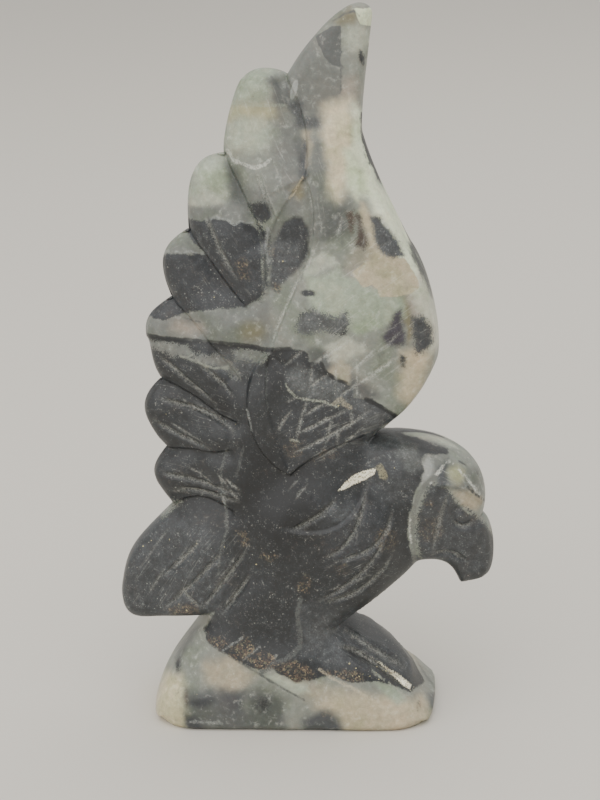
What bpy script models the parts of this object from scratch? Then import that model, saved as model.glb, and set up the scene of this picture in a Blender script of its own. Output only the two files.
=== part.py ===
"""Eagle with raised wings, cut together with its base from one block of banded stone.

The block is a thick slab. The bird's side view is its outline, and both faces
are carved: the arm of the wing stands proud of six flight feathers that overlap
like shingles, with a fanned tail, neck feathers, a hooked beak and deep toes.
X runs from the tail to the beak, Y across the slab, Z up, and the origin is the
middle of the underside. Lengths are metres.
"""

import math

import bpy
import numpy as np
from mathutils import Vector
from mathutils.geometry import delaunay_2d_cdt, interpolate_bezier

# The figure is a free form: places in its side view are shares of its height,
# in two-hundredths, so they read as millimetres on a bird 200 mm tall.
HEIGHT = 0.200
SHARE = HEIGHT / 200.0

# Sizes of the block that are set by themselves.
BASE_LENGTH = 0.080
BASE_THICKNESS = 0.041
BODY_THICKNESS = 0.034
LEG_THICKNESS = 0.033
HEAD_THICKNESS = 0.023
BEAK_THICKNESS = 0.009
TAIL_THICKNESS = 0.015
SHOULDER_THICKNESS = 0.023
WING_THICKNESS = 0.014
WING_TIP_THICKNESS = 0.007
FEATHER_THICKNESS = 0.010

# Rounding of the block's edges, from crisp at the wing's front to full at the base.
WING_ROUNDING = 0.003
FEATHER_ROUNDING = 0.006
HEAD_ROUNDING = 0.010
BODY_ROUNDING = 0.013
BASE_ROUNDING = 0.011
FLOOR_BEVEL = 0.0012
EDGE_CROWN = 0.0005

# Carving.
FEATHER_STEP = 0.0015
FEATHER_VALLEY = 0.0017
VALLEY_WIDTH = 0.0028
ARM_STEP = 0.0018
ROOT_STEP = 0.0009
BROW_STEP = 0.0015
STEP_WIDTH = 0.0009
STEP_REACH = 0.009
CUT_WIDTH = 0.0016
CUT_DEPTH = 0.0008
RUN_OUT = 0.22
MOUTH_WIDTH = 0.0022
MOUTH_DEPTH = 0.0013
TOE_CUT_WIDTH = 0.0028
TOE_CUT_DEPTH = 0.0030
EYE_DIAMETER = 0.0050
EYE_RELIEF = 0.0007

# How finely the faces are divided.
EDGE_SPACING = 0.0026
LINE_SPACING = 0.0024
FILL_SPACING = 0.0041
BACK_SPACING = 0.0054
POINT_GAP = 0.00045

# Rings of points that carry the edge's rounding and the eye: shares of the rounding's
# reach in from the edge, and of the eye's diameter out from its centre.
EDGE_RINGS = (0.18, 0.46, 0.88)
EYE_RINGS = (0.25, 0.42, 0.58, 0.78)
EYE_POINTS = 14

# How the thickness stations blend: a soft reach in shares of the height, and a power.
BLEND_REACH = 5.5
BLEND_POWER = 2.2

STONE_COLOUR = (0.16, 0.165, 0.15, 1.0)
STONE_ROUGHNESS = 0.35


# The side view goes round from the tail's notch above the base, by way of the tail,
# the feathers, the wing's tip, its front edge, the head, the breast and the foot.
# Each run is one cubic: its two handles and its end. It starts where the last one ended.
# The base's ends stand upright for BASE_WALL. The slope behind has one handle from the
# top of that wall and one from the notch, and the toes have one from the foot's end.
TAIL_NOTCH = (-23.2, 30.5)
BASE_WALL = 6.0
BACK_HANDLES = ((1.8, 7.0), (-5.3, -8.2))
TOE_HANDLE = (1.6, -4.4)
SIDE_VIEW = {
    "tail underside": [((-36.0, 30.2), (-40.8, 27.4), (-45.0, 28.6))],
    "tail end": [((-48.2, 29.5), (-49.4, 33.2), (-48.2, 38.4))],
    "tail back": [((-46.2, 49.0), (-43.0, 50.6), (-32.4, 61.6))],
    "seventh feather": [((-36.2, 70.4), (-40.6, 70.0), (-33.0, 78.7))],
    "sixth feather": [((-38.0, 86.1), (-42.7, 91.2), (-33.4, 98.7))],
    "fifth feather": [
        ((-36.7, 104.1), (-35.4, 109.4), (-36.9, 111.1)),
        ((-37.5, 116.8), (-34.6, 118.2), (-29.2, 122.0)),
    ],
    "fourth feather": [((-33.2, 133.0), (-31.0, 136.7), (-23.5, 140.8))],
    "third feather": [((-24.0, 159.9), (-18.2, 160.6), (-12.8, 161.2))],
    "second feather": [
        ((-13.6, 164.2), (-9.2, 179.8), (-7.1, 180.9)),
        ((-3.2, 185.2), (3.9, 182.5), (4.7, 181.2)),
    ],
    "wing tip": [
        ((7.8, 187.2), (18.3, 199.5), (23.8, 199.5)),
        ((25.5, 199.5), (26.8, 198.6), (26.7, 196.8)),
    ],
    "wing front": [
        ((25.8, 189.8), (22.8, 171.5), (23.3, 166.2)),
        ((24.7, 159.2), (32.1, 142.0), (35.8, 134.9)),
        ((40.2, 128.8), (43.7, 111.8), (42.4, 105.1)),
        ((37.5, 92.3), (28.4, 86.5), (24.2, 82.0)),
    ],
    "nape and crown": [
        ((37.4, 81.6), (42.9, 80.8), (48.9, 76.4)),
        ((55.6, 71.8), (55.8, 63.1), (53.9, 58.2)),
    ],
    "beak": [
        ((57.9, 56.8), (58.2, 41.6), (54.9, 40.1)),
        ((54.0, 38.6), (49.0, 38.4), (48.3, 38.4)),
        ((46.4, 43.0), (44.6, 46.0), (39.6, 46.1)),
    ],
    "breast": [
        ((34.9, 46.1), (37.0, 45.2), (31.2, 40.8)),
        ((24.2, 35.1), (17.8, 31.6), (13.8, 27.0)),
    ],
    "foot": [((18.6, 23.8), (29.4, 21.0), (33.8, 10.8))],
}

# Lines where one form lies over the next, upper form on the left going along the line.
# Each is a chain of cubics: the start, then two handles and an end for each cubic.
ARM_LINE = [
    (4.7, 181.2), (9.0, 175.0), (10.8, 164.0), (8.9, 155.9),
    (11.8, 150.0), (11.8, 139.0), (7.6, 131.1),
    (4.4, 123.6), (0.4, 115.8), (-1.7, 109.2),
    (-12.6, 103.0), (-10.6, 80.0), (2.4, 74.6),
    (8.6, 81.0), (18.0, 84.0), (27.6, 86.2),
]
COVERT_LINE = [(1.3, 77.6), (-3.6, 92.0), (-4.6, 102.0), (-1.9, 109.0)]
FEATHER_LINES = [
    [(-12.8, 161.2), (-10.9, 157.6), (-6.0, 147.0), (-2.3, 139.1)],
    [(-23.5, 140.8), (-19.6, 136.4), (-15.6, 128.2), (-9.3, 121.8)],
    [(-29.2, 122.0), (-24.6, 118.0), (-16.0, 108.2), (-11.9, 102.1)],
    [(-33.4, 98.7), (-29.0, 99.6), (-22.0, 92.6), (-13.0, 89.2)],
    [(-33.0, 78.7), (-29.0, 80.6), (-22.0, 79.6), (-15.2, 80.8)],
    [(-32.4, 61.6), (-29.4, 66.2), (-22.0, 67.4), (-15.4, 63.2)],
]
ROOT_LINE = [(-2.1, 125.6), (-4.6, 136.0), (1.0, 147.4), (8.9, 155.9)]
BROW_LINE = [(43.6, 70.0), (48.0, 70.8), (52.8, 67.0), (54.8, 61.6)]
NECK_LINE = [(22.7, 69.6), (19.6, 60.0), (11.0, 57.6), (2.4, 59.6)]

# Engraved lines: start, two handles and end.
WING_CUTS = [
    [(-18.3, 144.9), (-16.8, 140.5), (-13.6, 133.2), (-10.5, 128.3)],
    [(-3.9, 157.3), (-3.2, 154.2), (-1.2, 148.6), (0.3, 144.9)],
    [(-33.5, 106.6), (-29.4, 103.8), (-22.8, 97.2), (-17.7, 93.9)],
    [(-21.4, 104.6), (-18.8, 102.8), (-15.0, 99.2), (-12.8, 96.3)],
    [(-34.1, 94.3), (-27.4, 92.4), (-17.6, 90.6), (-12.7, 86.2)],
    [(-36.1, 88.4), (-31.6, 85.6), (-26.0, 82.2), (-19.6, 81.4)],
    [(-34.6, 73.0), (-28.0, 71.6), (-20.0, 70.4), (-12.2, 68.8)],
    [(-30.6, 68.7), (-26.0, 67.9), (-18.0, 67.6), (-12.2, 66.4)],
]
TAIL_CUTS = [
    [(-23.6, 55.1), (-26.6, 50.6), (-31.0, 46.0), (-35.6, 42.3)],
    [(-17.7, 51.6), (-22.4, 46.0), (-29.0, 38.8), (-35.6, 32.6)],
    [(-11.1, 51.9), (-14.8, 45.8), (-19.6, 39.8), (-24.3, 34.4)],
    [(-10.2, 44.9), (-12.6, 41.0), (-15.4, 36.8), (-18.4, 33.1)],
    [(-29.1, 38.6), (-28.0, 37.2), (-26.4, 36.0), (-24.8, 34.7)],
]
NECK_CUTS = [
    [(22.7, 69.6), (22.0, 60.6), (17.0, 52.4), (11.7, 51.8)],
    [(30.0, 63.7), (28.8, 54.4), (20.6, 51.2), (14.1, 50.2)],
    [(28.0, 57.1), (24.8, 48.0), (17.0, 41.4), (9.3, 38.7)],
    [(29.7, 51.0), (25.0, 43.0), (19.0, 38.4), (11.2, 38.0)],
    [(2.4, 59.6), (6.6, 61.4), (11.8, 64.6), (14.9, 67.9)],
]
CHEEK_CUT = [(45.6, 69.0), (43.4, 62.6), (41.8, 55.6), (40.8, 49.9)]
LID_CUT = [(46.6, 59.0), (47.6, 57.0), (50.4, 56.4), (51.6, 58.2)]
MOUTH_CUT = [(40.4, 48.9), (43.6, 50.3), (47.4, 49.2), (50.3, 45.2)]
TOE_CUTS = [
    [(11.6, 28.5), (18.4, 23.6), (27.6, 16.8), (35.8, 10.2)],
    [(14.3, 23.7), (20.0, 20.0), (28.0, 13.8), (33.6, 8.2)],
]
EYE_CENTRE = (49.3, 60.4)


def stations():
    """Places in the side view with the slab's thickness, edge width and rounding there.

    Each is x, z (shares), thickness, flat width of the edge as a part of that
    thickness, and the rounding's reach in from the edge.
    """
    wing, feather = WING_THICKNESS, FEATHER_THICKNESS
    body, head, base = BODY_THICKNESS, HEAD_THICKNESS, BASE_THICKNESS
    return [
        (21.4, 195.0, WING_TIP_THICKNESS, 0.40, WING_ROUNDING),
        (14.4, 178.0, WING_TIP_THICKNESS * 1.3, 0.55, WING_ROUNDING),
        (23.4, 164.0, wing, 0.68, WING_ROUNDING),
        (13.4, 146.0, wing * 1.25, 0.60, FEATHER_ROUNDING),
        (34.0, 138.0, SHOULDER_THICKNESS * 0.88, 0.72, WING_ROUNDING),
        (40.4, 118.0, SHOULDER_THICKNESS, 0.74, WING_ROUNDING),
        (38.4, 98.0, SHOULDER_THICKNESS, 0.68, WING_ROUNDING * 1.5),
        (21.4, 114.0, SHOULDER_THICKNESS * 1.14, 0.60, FEATHER_ROUNDING),
        (3.4, 94.0, SHOULDER_THICKNESS * 1.2, 0.55, FEATHER_ROUNDING),
        (-3.6, 174.0, feather, 0.28, FEATHER_ROUNDING),
        (-18.6, 152.0, feather, 0.28, FEATHER_ROUNDING),
        (-24.6, 132.0, feather * 1.1, 0.28, FEATHER_ROUNDING),
        (-31.6, 113.0, feather * 1.15, 0.28, FEATHER_ROUNDING),
        (-32.6, 90.0, feather * 1.3, 0.28, FEATHER_ROUNDING * 1.2),
        (-30.6, 71.0, feather * 1.5, 0.28, FEATHER_ROUNDING * 1.3),
        (-4.6, 140.0, wing * 1.1, 0.50, FEATHER_ROUNDING),
        (-12.6, 108.0, wing * 1.4, 0.50, FEATHER_ROUNDING),
        (-12.6, 78.0, body * 0.76, 0.50, BODY_ROUNDING),
        (-43.6, 38.0, TAIL_THICKNESS, 0.46, FEATHER_ROUNDING),
        (-36.6, 52.0, TAIL_THICKNESS, 0.42, FEATHER_ROUNDING * 1.4),
        (-20.6, 46.0, body * 0.76, 0.50, FEATHER_ROUNDING * 1.4),
        (7.4, 56.0, body, 0.50, BODY_ROUNDING),
        (23.4, 54.0, body * 0.94, 0.48, BODY_ROUNDING),
        (29.4, 78.0, head * 1.04, 0.42, HEAD_ROUNDING),
        (42.4, 68.0, head, 0.34, HEAD_ROUNDING),
        (50.0, 60.0, head * 0.74, 0.34, HEAD_ROUNDING * 0.8),
        (53.4, 45.0, BEAK_THICKNESS, 0.36, HEAD_ROUNDING * 0.45),
        (48.4, 50.0, head * 0.6, 0.40, HEAD_ROUNDING * 0.5),
        (39.4, 53.0, head * 0.82, 0.44, HEAD_ROUNDING * 0.6),
        (-2.6, 34.0, LEG_THICKNESS, 0.60, BODY_ROUNDING),
        (15.4, 27.0, LEG_THICKNESS, 0.50, BODY_ROUNDING),
        (28.4, 14.0, base * 0.84, 0.22, BASE_ROUNDING * 1.3),
        (-28.6, 20.0, base * 0.86, 0.42, BASE_ROUNDING),
        (-4.0, 12.0, base * 0.97, 0.50, BASE_ROUNDING),
        (-2.6, 1.0, base, 0.60, BASE_ROUNDING),
        (-36.6, 4.0, base, 0.42, BASE_ROUNDING),
        (35.4, 3.0, base, 0.52, BASE_ROUNDING),
        (19.4, 2.0, base, 0.50, BASE_ROUNDING),
        (-20.6, 2.0, base, 0.50, BASE_ROUNDING),
    ]


def clear_scene():
    """Remove whatever the file holds."""
    for item in list(bpy.data.objects):
        bpy.data.objects.remove(item, do_unlink=True)


def scaled(points):
    """Shares of the height as metres."""
    return [(x * SHARE, z * SHARE) for x, z in points]


def shifted(place, step):
    """A place in metres moved by a step given in shares."""
    return place[0] + step[0] * SHARE, place[1] + step[1] * SHARE


def cubic(start, handle_a, handle_b, end, spacing):
    """Points along one cubic, about a spacing apart, both ends included."""
    knots = [Vector((x, 0.0, z)) for x, z in (start, handle_a, handle_b, end)]
    reach = sum((b - a).length for a, b in zip(knots, knots[1:]))
    count = max(4, math.ceil(reach / spacing) + 1)
    curve = interpolate_bezier(*knots, count)
    return [(point.x, point.z) for point in curve]


def chain(points, spacing):
    """One open line from a start and three points for each cubic after it."""
    points = scaled(points)
    line = [points[0]]
    for first in range(0, len(points) - 1, 3):
        line += cubic(*points[first:first + 4], spacing)[1:]
    return np.array(line)


def side_view():
    """Closed outline of the slab, and how many of its first points lie on the floor."""
    half = BASE_LENGTH / 2
    corner = FLOOR_BEVEL * 1.6
    wall = BASE_WALL * SHARE
    steps = max(8, round(BASE_LENGTH / EDGE_SPACING))
    floor = [(x, 0.0) for x in np.linspace(half - corner, corner - half, steps)]
    line = list(floor)
    line += cubic(floor[-1], (-half, 0.0), (-half, corner), (-half, wall / 2), EDGE_SPACING)[1:]
    notch = scaled([TAIL_NOTCH])[0]
    low, high = BACK_HANDLES
    line += cubic(line[-1], shifted((-half, wall), low), shifted(notch, high), notch, EDGE_SPACING)[1:]
    for cubics in SIDE_VIEW.values():
        for part in cubics:
            line += cubic(line[-1], *scaled(part), EDGE_SPACING)[1:]
    toes = line[-1]
    line += cubic(toes, shifted(toes, TOE_HANDLE), (half, wall / 2), (half, wall / 2), EDGE_SPACING)[1:]
    line += cubic(line[-1], (half, corner), (half, 0.0), floor[0], EDGE_SPACING)[1:-1]
    return np.array(line), steps


def nearest(points, line, closed=False):
    """Distance, side, share along the line and overshoot past its ends, for each point."""
    start = line if closed else line[:-1]
    step = (np.roll(line, -1, axis=0) if closed else line[1:]) - start
    length = np.hypot(step[:, 0], step[:, 1])
    before = np.concatenate([[0.0], np.cumsum(length)[:-1]])
    away = points[:, None, :] - start[None]
    along = (away * step).sum(axis=2) / length ** 2
    held = np.clip(along, 0.0, 1.0)
    gap = away - held[:, :, None] * step
    distance = np.hypot(gap[:, :, 0], gap[:, :, 1])
    best = distance.argmin(axis=1)
    rows = np.arange(len(points))
    cross = step[best, 0] * away[rows, best, 1] - step[best, 1] * away[rows, best, 0]
    share = (before[best] + held[rows, best] * length[best]) / length.sum()
    past = np.abs(along[rows, best] - held[rows, best]) * length[best]
    return distance[rows, best], np.sign(cross), share, past


def inside(points, outline):
    """Which points lie within a closed outline."""
    x, z = points[:, 0][:, None], points[:, 1][:, None]
    ax, az = outline[:, 0], outline[:, 1]
    bx, bz = np.roll(ax, -1), np.roll(az, -1)
    spans = (az > z) != (bz > z)
    rise = np.where(bz == az, 1.0, bz - az)
    crossing = spans & (x < (bx - ax) * (z - az) / rise + ax)
    return crossing.sum(axis=1) % 2 == 1


def blended(points):
    """Thickness, edge part and rounding at each point, blended from the stations."""
    table = np.array(stations())
    places = table[:, :2] * SHARE
    apart = ((points[:, None, :] - places[None]) ** 2).sum(axis=2)
    weight = 1.0 / (apart + (BLEND_REACH * SHARE) ** 2) ** BLEND_POWER
    weight /= weight.sum(axis=1, keepdims=True)
    return (weight[:, :, None] * table[None, :, 2:]).sum(axis=1).T


def smooth(value):
    """Soft step from 0 to 1."""
    value = np.clip(value, 0.0, 1.0)
    return value * value * (3.0 - 2.0 * value)


def overlap(points, line, height, reach, fade):
    """Rise on the left of a line and fall on its right, dying away over the reach."""
    distance, side, _, past = nearest(points, line)
    ramp = 2.0 * smooth(0.5 + side * distance / STEP_WIDTH) - 1.0
    return 0.5 * height * ramp * np.exp(-distance / reach) * (1.0 - smooth(past / fade))


def cut(points, line, width, depth):
    """Depth of an engraved line with a round bottom that runs out at both ends."""
    distance, _, share, _ = nearest(points, line)
    ends = smooth(share / RUN_OUT) * smooth((1.0 - share) / RUN_OUT)
    return depth * ends * smooth(1.0 - distance / (0.62 * width))


def overlap_lines():
    """Every line where one form lies over another, with its height and reach."""
    lines = [(chain(ARM_LINE, LINE_SPACING), ARM_STEP, STEP_REACH)]
    lines += [(chain(points, LINE_SPACING), FEATHER_STEP, STEP_REACH) for points in FEATHER_LINES]
    lines.append((chain(COVERT_LINE, LINE_SPACING), FEATHER_STEP * 0.6, STEP_REACH * 0.4))
    lines.append((chain(ROOT_LINE, LINE_SPACING), ROOT_STEP, STEP_REACH * 0.4))
    lines.append((chain(BROW_LINE, LINE_SPACING), BROW_STEP, STEP_REACH * 0.35))
    lines.append((chain(NECK_LINE, LINE_SPACING), FEATHER_STEP * 0.7, STEP_REACH * 0.35))
    return lines


def cut_lines(plain):
    """Engraved lines with their widths and depths; the plain face has the main ones only."""
    shallow = [chain(points, LINE_SPACING) for points in WING_CUTS + TAIL_CUTS + NECK_CUTS]
    if plain:
        shallow = shallow[::2]
    lines = [(line, CUT_WIDTH, CUT_DEPTH) for line in shallow]
    lines += [(chain(points, LINE_SPACING), CUT_WIDTH, CUT_DEPTH * 0.7) for points in (CHEEK_CUT, LID_CUT)]
    lines += [(chain(MOUTH_CUT, LINE_SPACING), MOUTH_WIDTH, MOUTH_DEPTH)]
    lines += [(chain(points, LINE_SPACING), TOE_CUT_WIDTH, TOE_CUT_DEPTH) for points in TOE_CUTS]
    return lines


def eye_relief(points):
    """A low round eye in a ring-shaped groove."""
    centre = np.array(EYE_CENTRE) * SHARE
    radius = EYE_DIAMETER / 2
    away = np.hypot(*(points - centre).T) / radius
    dome = EYE_RELIEF * (1.0 - smooth(away))
    ring = 0.8 * EYE_RELIEF * np.exp(-((away - 1.15) / 0.3) ** 2)
    return dome - ring


def half_depth(points, edge, plain):
    """Distance from the slab's middle plane to its carved face at each point."""
    thickness, flat, rounding = blended(points)
    distance = nearest(points, edge)[0]
    inward = np.clip(distance / rounding, 0.0, 1.0)
    shoulder = np.sqrt(1.0 - (1.0 - inward) ** 2)
    depth = 0.5 * thickness * (flat + (1.0 - flat) * shoulder)
    for line, height, reach in overlap_lines():
        depth += overlap(points, line, height, reach, 3.0 * STEP_WIDTH)
    for valley in FEATHER_LINES:
        away = nearest(points, chain(valley, LINE_SPACING))[0] / VALLEY_WIDTH
        depth -= FEATHER_VALLEY * np.exp(-away ** 2)
    for line, width, deep in cut_lines(plain):
        depth -= cut(points, line, width, deep)
    floor = np.clip(points[:, 1] / FLOOR_BEVEL, 0.0, 1.0)
    return depth + eye_relief(points) - FLOOR_BEVEL * (1.0 - floor)


def eye_rings():
    """Rings of points that carry the eye and its groove."""
    centre = np.array(EYE_CENTRE) * SHARE
    turn = np.linspace(0.0, 2.0 * math.pi, EYE_POINTS, endpoint=False)
    unit = np.stack([np.cos(turn), np.sin(turn)], axis=1)
    return [centre + part * EYE_DIAMETER * unit for part in EYE_RINGS]


def beside(line, offset):
    """A line's points moved sideways."""
    along = np.gradient(line, axis=0)
    along /= np.hypot(along[:, 0], along[:, 1])[:, None]
    return line + offset * np.stack([-along[:, 1], along[:, 0]], axis=1)


def rings(outline):
    """Points inside the outline where its rounding starts and where it turns hardest."""
    out = outline_normals(outline)
    rounding = blended(outline)[2]
    kept = []
    for part in EDGE_RINGS:
        reach = part * rounding
        moved = outline - out * reach[:, None]
        clear = nearest(moved, outline, closed=True)[0] > 0.85 * reach
        kept.append(moved[clear & inside(moved, outline)])
    return kept


def fill(outline, spacing):
    """Points of a triangular grid inside the outline."""
    low, high = outline.min(axis=0), outline.max(axis=0)
    rows = np.arange(low[1], high[1], spacing * math.sqrt(0.75))
    grid = []
    for number, z in enumerate(rows):
        shift = 0.5 * spacing * (number % 2)
        grid += [(x + shift, z) for x in np.arange(low[0], high[0], spacing)]
    grid = np.array(grid)
    return grid[inside(grid, outline)]


def line_rows(plain):
    """Rows of points that carry each carved line: its two sides, and a cut's bottom."""
    rows = []
    for line, _, _ in overlap_lines():
        rows += [beside(line, 0.5 * STEP_WIDTH), beside(line, -0.5 * STEP_WIDTH)]
    for line, width, _ in cut_lines(plain):
        rows += [line, beside(line, 0.55 * width), beside(line, -0.55 * width)]
    return rows


def spaced(points, others, gap, own_gap=0.0):
    """The points that keep one gap to the others and one to those kept before them."""
    kept = []
    for point in points:
        if np.hypot(*(others - point).T).min() < gap:
            continue
        if kept and np.hypot(*(np.array(kept) - point).T).min() < own_gap:
            continue
        kept.append(point)
    return np.array(kept).reshape(-1, 2)


def face_points(outline, spacing, plain):
    """Every point of one face and the links along its carved lines."""
    points = outline
    for ring in eye_rings():
        points = np.vstack([points, ring])
    links = []
    for row in line_rows(plain):
        distance = nearest(row, outline, closed=True)[0]
        row = row[inside(row, outline) & (distance > POINT_GAP)]
        row = spaced(row, points, POINT_GAP)
        first = len(points)
        points = np.vstack([points, row])
        gaps = np.hypot(*np.diff(row, axis=0).T) if len(row) > 1 else []
        links += [(first + k, first + k + 1) for k, gap in enumerate(gaps) if gap < 2.0 * LINE_SPACING]
    for ring in rings(outline):
        points = np.vstack([points, spaced(ring, points, POINT_GAP, 0.4 * EDGE_SPACING)])
    grid = spaced(fill(outline, spacing), points, 0.55 * spacing)
    return np.vstack([points, grid]), links


def triangulated(outline, spacing, plain):
    """Points and triangles of one face; the outline's points come first, in order."""
    points, links = face_points(outline, spacing, plain)
    count = len(outline)
    loop = [(k, (k + 1) % count) for k in range(count)]
    flat = [Vector((x * 1000.0, z * 1000.0)) for x, z in points]
    result = delaunay_2d_cdt(flat, loop + links, [], 0, 1e-5)
    verts = np.array([(v.x, v.y) for v in result[0]]) / 1000.0
    faces = np.array([tuple(face) for face in result[2]])
    centres = verts[faces].mean(axis=1)
    faces = faces[inside(centres, outline)]
    return in_order(verts, faces, result[3], outline)


def in_order(verts, faces, origins, outline):
    """Renumber a face's points so that the outline's come first and unused ones go."""
    count = len(outline)
    order = [None] * count
    for new, old in enumerate(origins):
        for source in old:
            if source < count:
                order[source] = new
    used = set(faces.ravel().tolist())
    order += sorted(used - set(order))
    number = {old: new for new, old in enumerate(order)}
    placed = verts[order]
    placed[:count] = outline
    return placed, [tuple(number[k] for k in face) for face in faces.tolist()]


def outline_normals(outline):
    """Directions out of the outline, whose points run clockwise in the side view."""
    along = np.roll(outline, -1, axis=0) - np.roll(outline, 1, axis=0)
    along /= np.hypot(along[:, 0], along[:, 1])[:, None]
    return np.stack([-along[:, 1], along[:, 0]], axis=1)


def carve():
    """Mesh of the whole carving: a near face, a far face and the edge between them."""
    outline, floor_count = side_view()
    edge = outline[floor_count - 1:]
    edge = np.vstack([edge, outline[:1]])
    near, near_faces = triangulated(outline, FILL_SPACING, plain=False)
    far, far_faces = triangulated(outline, BACK_SPACING, plain=True)
    near_depth = half_depth(near, edge, plain=False)
    far_depth = half_depth(far, edge, plain=True)
    verts = [(x, -y, z) for (x, z), y in zip(near.tolist(), near_depth.tolist())]
    verts += [(x, y, z) for (x, z), y in zip(far.tolist(), far_depth.tolist())]
    first = len(near)
    faces = wound(near_faces, verts, -1.0)
    faces += wound([tuple(first + k for k in face) for face in far_faces], verts, 1.0)
    crown = edge_crown(outline, floor_count, near_depth, far_depth)
    middle = len(verts)
    verts += crown
    faces += edge_faces(len(outline), first, middle)
    return verts, faces


def edge_crown(outline, floor_count, near_depth, far_depth):
    """Points down the middle of the edge, a little proud of it except on the floor."""
    rise = np.full(len(outline), EDGE_CROWN)
    rise[:floor_count] = 0.0
    crest = outline + outline_normals(outline) * rise[:, None]
    count = len(outline)
    depth = 0.5 * (far_depth[:count] - near_depth[:count])
    return [(x, y, z) for (x, z), y in zip(crest.tolist(), depth.tolist())]


def wound(faces, verts, facing):
    """Faces turned so that they look along Y in the given sense."""
    turned = []
    for a, b, c in faces:
        (ax, _, az), (bx, _, bz), (cx, _, cz) = verts[a], verts[b], verts[c]
        looks = (bz - az) * (cx - ax) - (bx - ax) * (cz - az)
        turned.append((a, b, c) if looks * facing > 0.0 else (a, c, b))
    return turned


def edge_faces(count, far_first, crown_first):
    """Quads of the edge, from the near outline to its crown and on to the far outline."""
    faces = []
    for k in range(count):
        after = (k + 1) % count
        near_side = (k, after, crown_first + after, crown_first + k)
        far_side = (crown_first + k, crown_first + after, far_first + after, far_first + k)
        faces += [near_side, far_side]
    return faces


def stone_material():
    """Banded carving stone with a soft polish."""
    material = bpy.data.materials.new("banded_stone")
    material.use_nodes = True
    shader = next(node for node in material.node_tree.nodes if node.type == "BSDF_PRINCIPLED")
    shader.inputs["Base Color"].default_value = STONE_COLOUR
    shader.inputs["Roughness"].default_value = STONE_ROUGHNESS
    shader.inputs["Metallic"].default_value = 0.0
    return material


def build():
    """Make the carving in its own collection."""
    clear_scene()
    collection = bpy.data.collections.new("eagle_carving")
    bpy.context.scene.collection.children.link(collection)
    verts, faces = carve()
    mesh = bpy.data.meshes.new("eagle_carving")
    mesh.from_pydata(verts, [], faces)
    mesh.validate()
    carving = bpy.data.objects.new("eagle_carving", mesh)
    carving.data.materials.append(stone_material())
    collection.objects.link(carving)
    mesh.shade_smooth()
    mesh.set_sharp_from_angle(angle=math.radians(40.0))
    return carving


build()
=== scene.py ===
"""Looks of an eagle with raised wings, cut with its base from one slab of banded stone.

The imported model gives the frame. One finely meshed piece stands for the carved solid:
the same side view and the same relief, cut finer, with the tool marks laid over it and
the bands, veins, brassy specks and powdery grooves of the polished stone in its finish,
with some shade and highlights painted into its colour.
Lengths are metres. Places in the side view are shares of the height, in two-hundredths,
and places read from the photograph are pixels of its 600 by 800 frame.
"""

import logging
import math
from dataclasses import dataclass, field
from enum import Enum
from typing import Any

import bpy
import numpy as np
from mathutils import Matrix, Vector, noise
from mathutils.geometry import delaunay_2d_cdt, interpolate_bezier


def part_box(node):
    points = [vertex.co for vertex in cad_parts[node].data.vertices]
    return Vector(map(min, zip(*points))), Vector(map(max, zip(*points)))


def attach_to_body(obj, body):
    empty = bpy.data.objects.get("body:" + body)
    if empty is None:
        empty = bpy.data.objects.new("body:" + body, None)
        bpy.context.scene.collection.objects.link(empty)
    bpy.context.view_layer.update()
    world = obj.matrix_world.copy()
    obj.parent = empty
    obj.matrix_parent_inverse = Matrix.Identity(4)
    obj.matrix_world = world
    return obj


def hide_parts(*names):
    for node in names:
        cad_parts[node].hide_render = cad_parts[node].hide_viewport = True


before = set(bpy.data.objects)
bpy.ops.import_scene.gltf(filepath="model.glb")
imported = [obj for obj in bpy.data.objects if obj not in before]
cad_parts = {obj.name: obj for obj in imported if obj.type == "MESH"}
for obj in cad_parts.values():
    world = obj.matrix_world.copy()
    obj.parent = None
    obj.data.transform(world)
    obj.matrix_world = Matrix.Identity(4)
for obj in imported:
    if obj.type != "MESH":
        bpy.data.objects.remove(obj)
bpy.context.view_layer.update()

Pixels = tuple[tuple[float, float], ...]
Cubics = tuple[tuple[float, float], ...]

LOG = logging.getLogger("stone_eagle")
NODE = "eagle_carving"
MM = 0.001

# Point and line pairs compared at once, so that the arrays stay small.
PAIRS_AT_ONCE = 3_000_000


def linear(code: str) -> tuple[float, float, float, float]:
    """Turn an sRGB hex colour into linear light.

    Args:
        code: Six hex digits.

    Returns:
        Linear red, green, blue and an alpha of one.
    """
    parts = [int(code[k:k + 2], 16) / 255.0 for k in (0, 2, 4)]
    light = [p / 12.92 if p <= 0.04045 else ((p + 0.055) / 1.055) ** 2.4 for p in parts]
    return light[0], light[1], light[2], 1.0


class Tone(Enum):
    """Colours that the stone shows, as sRGB hex."""

    MILK = "d6d8ce"
    RIME = "ccd3ba"
    ICE = "bcc5a9"
    PEARL = "b2b3a3"
    FROST = "9da193"
    MINT = "9ca493"
    STEEL = "8f9390"
    SAGE = "8d9784"
    FOG = "787c74"
    ASH = "656864"
    PEWTER = "505352"
    SMOKE = "424548"
    HONEY = "c2b79b"
    SAND = "a89e85"
    BUFF = "97917e"
    BLUSH = "8c867b"
    LICHEN = "98987b"
    OLIVE = "6c6852"
    SLATE = "4b4e4f"
    GRAPHITE = "35383b"
    LEAD = "2b2e32"
    CHARCOAL = "202326"
    SOOT = "101317"
    PLUM = "36333b"
    UMBER = "3f352d"
    RUST = "5f4f40"
    TAN = "918065"
    BRASS = "c9bf92"
    # Painted glint: near-white cream that stands for the reflection on the brassy leaf.
    LEAF = "fcf7e2"
    DUST = "a4a59e"
    ROSE = "fff1ea"
    LEAFY = "f2f8ec"

    @property
    def light(self) -> tuple[float, float, float, float]:
        """The tone as linear light."""
        return linear(self.value)


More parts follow.
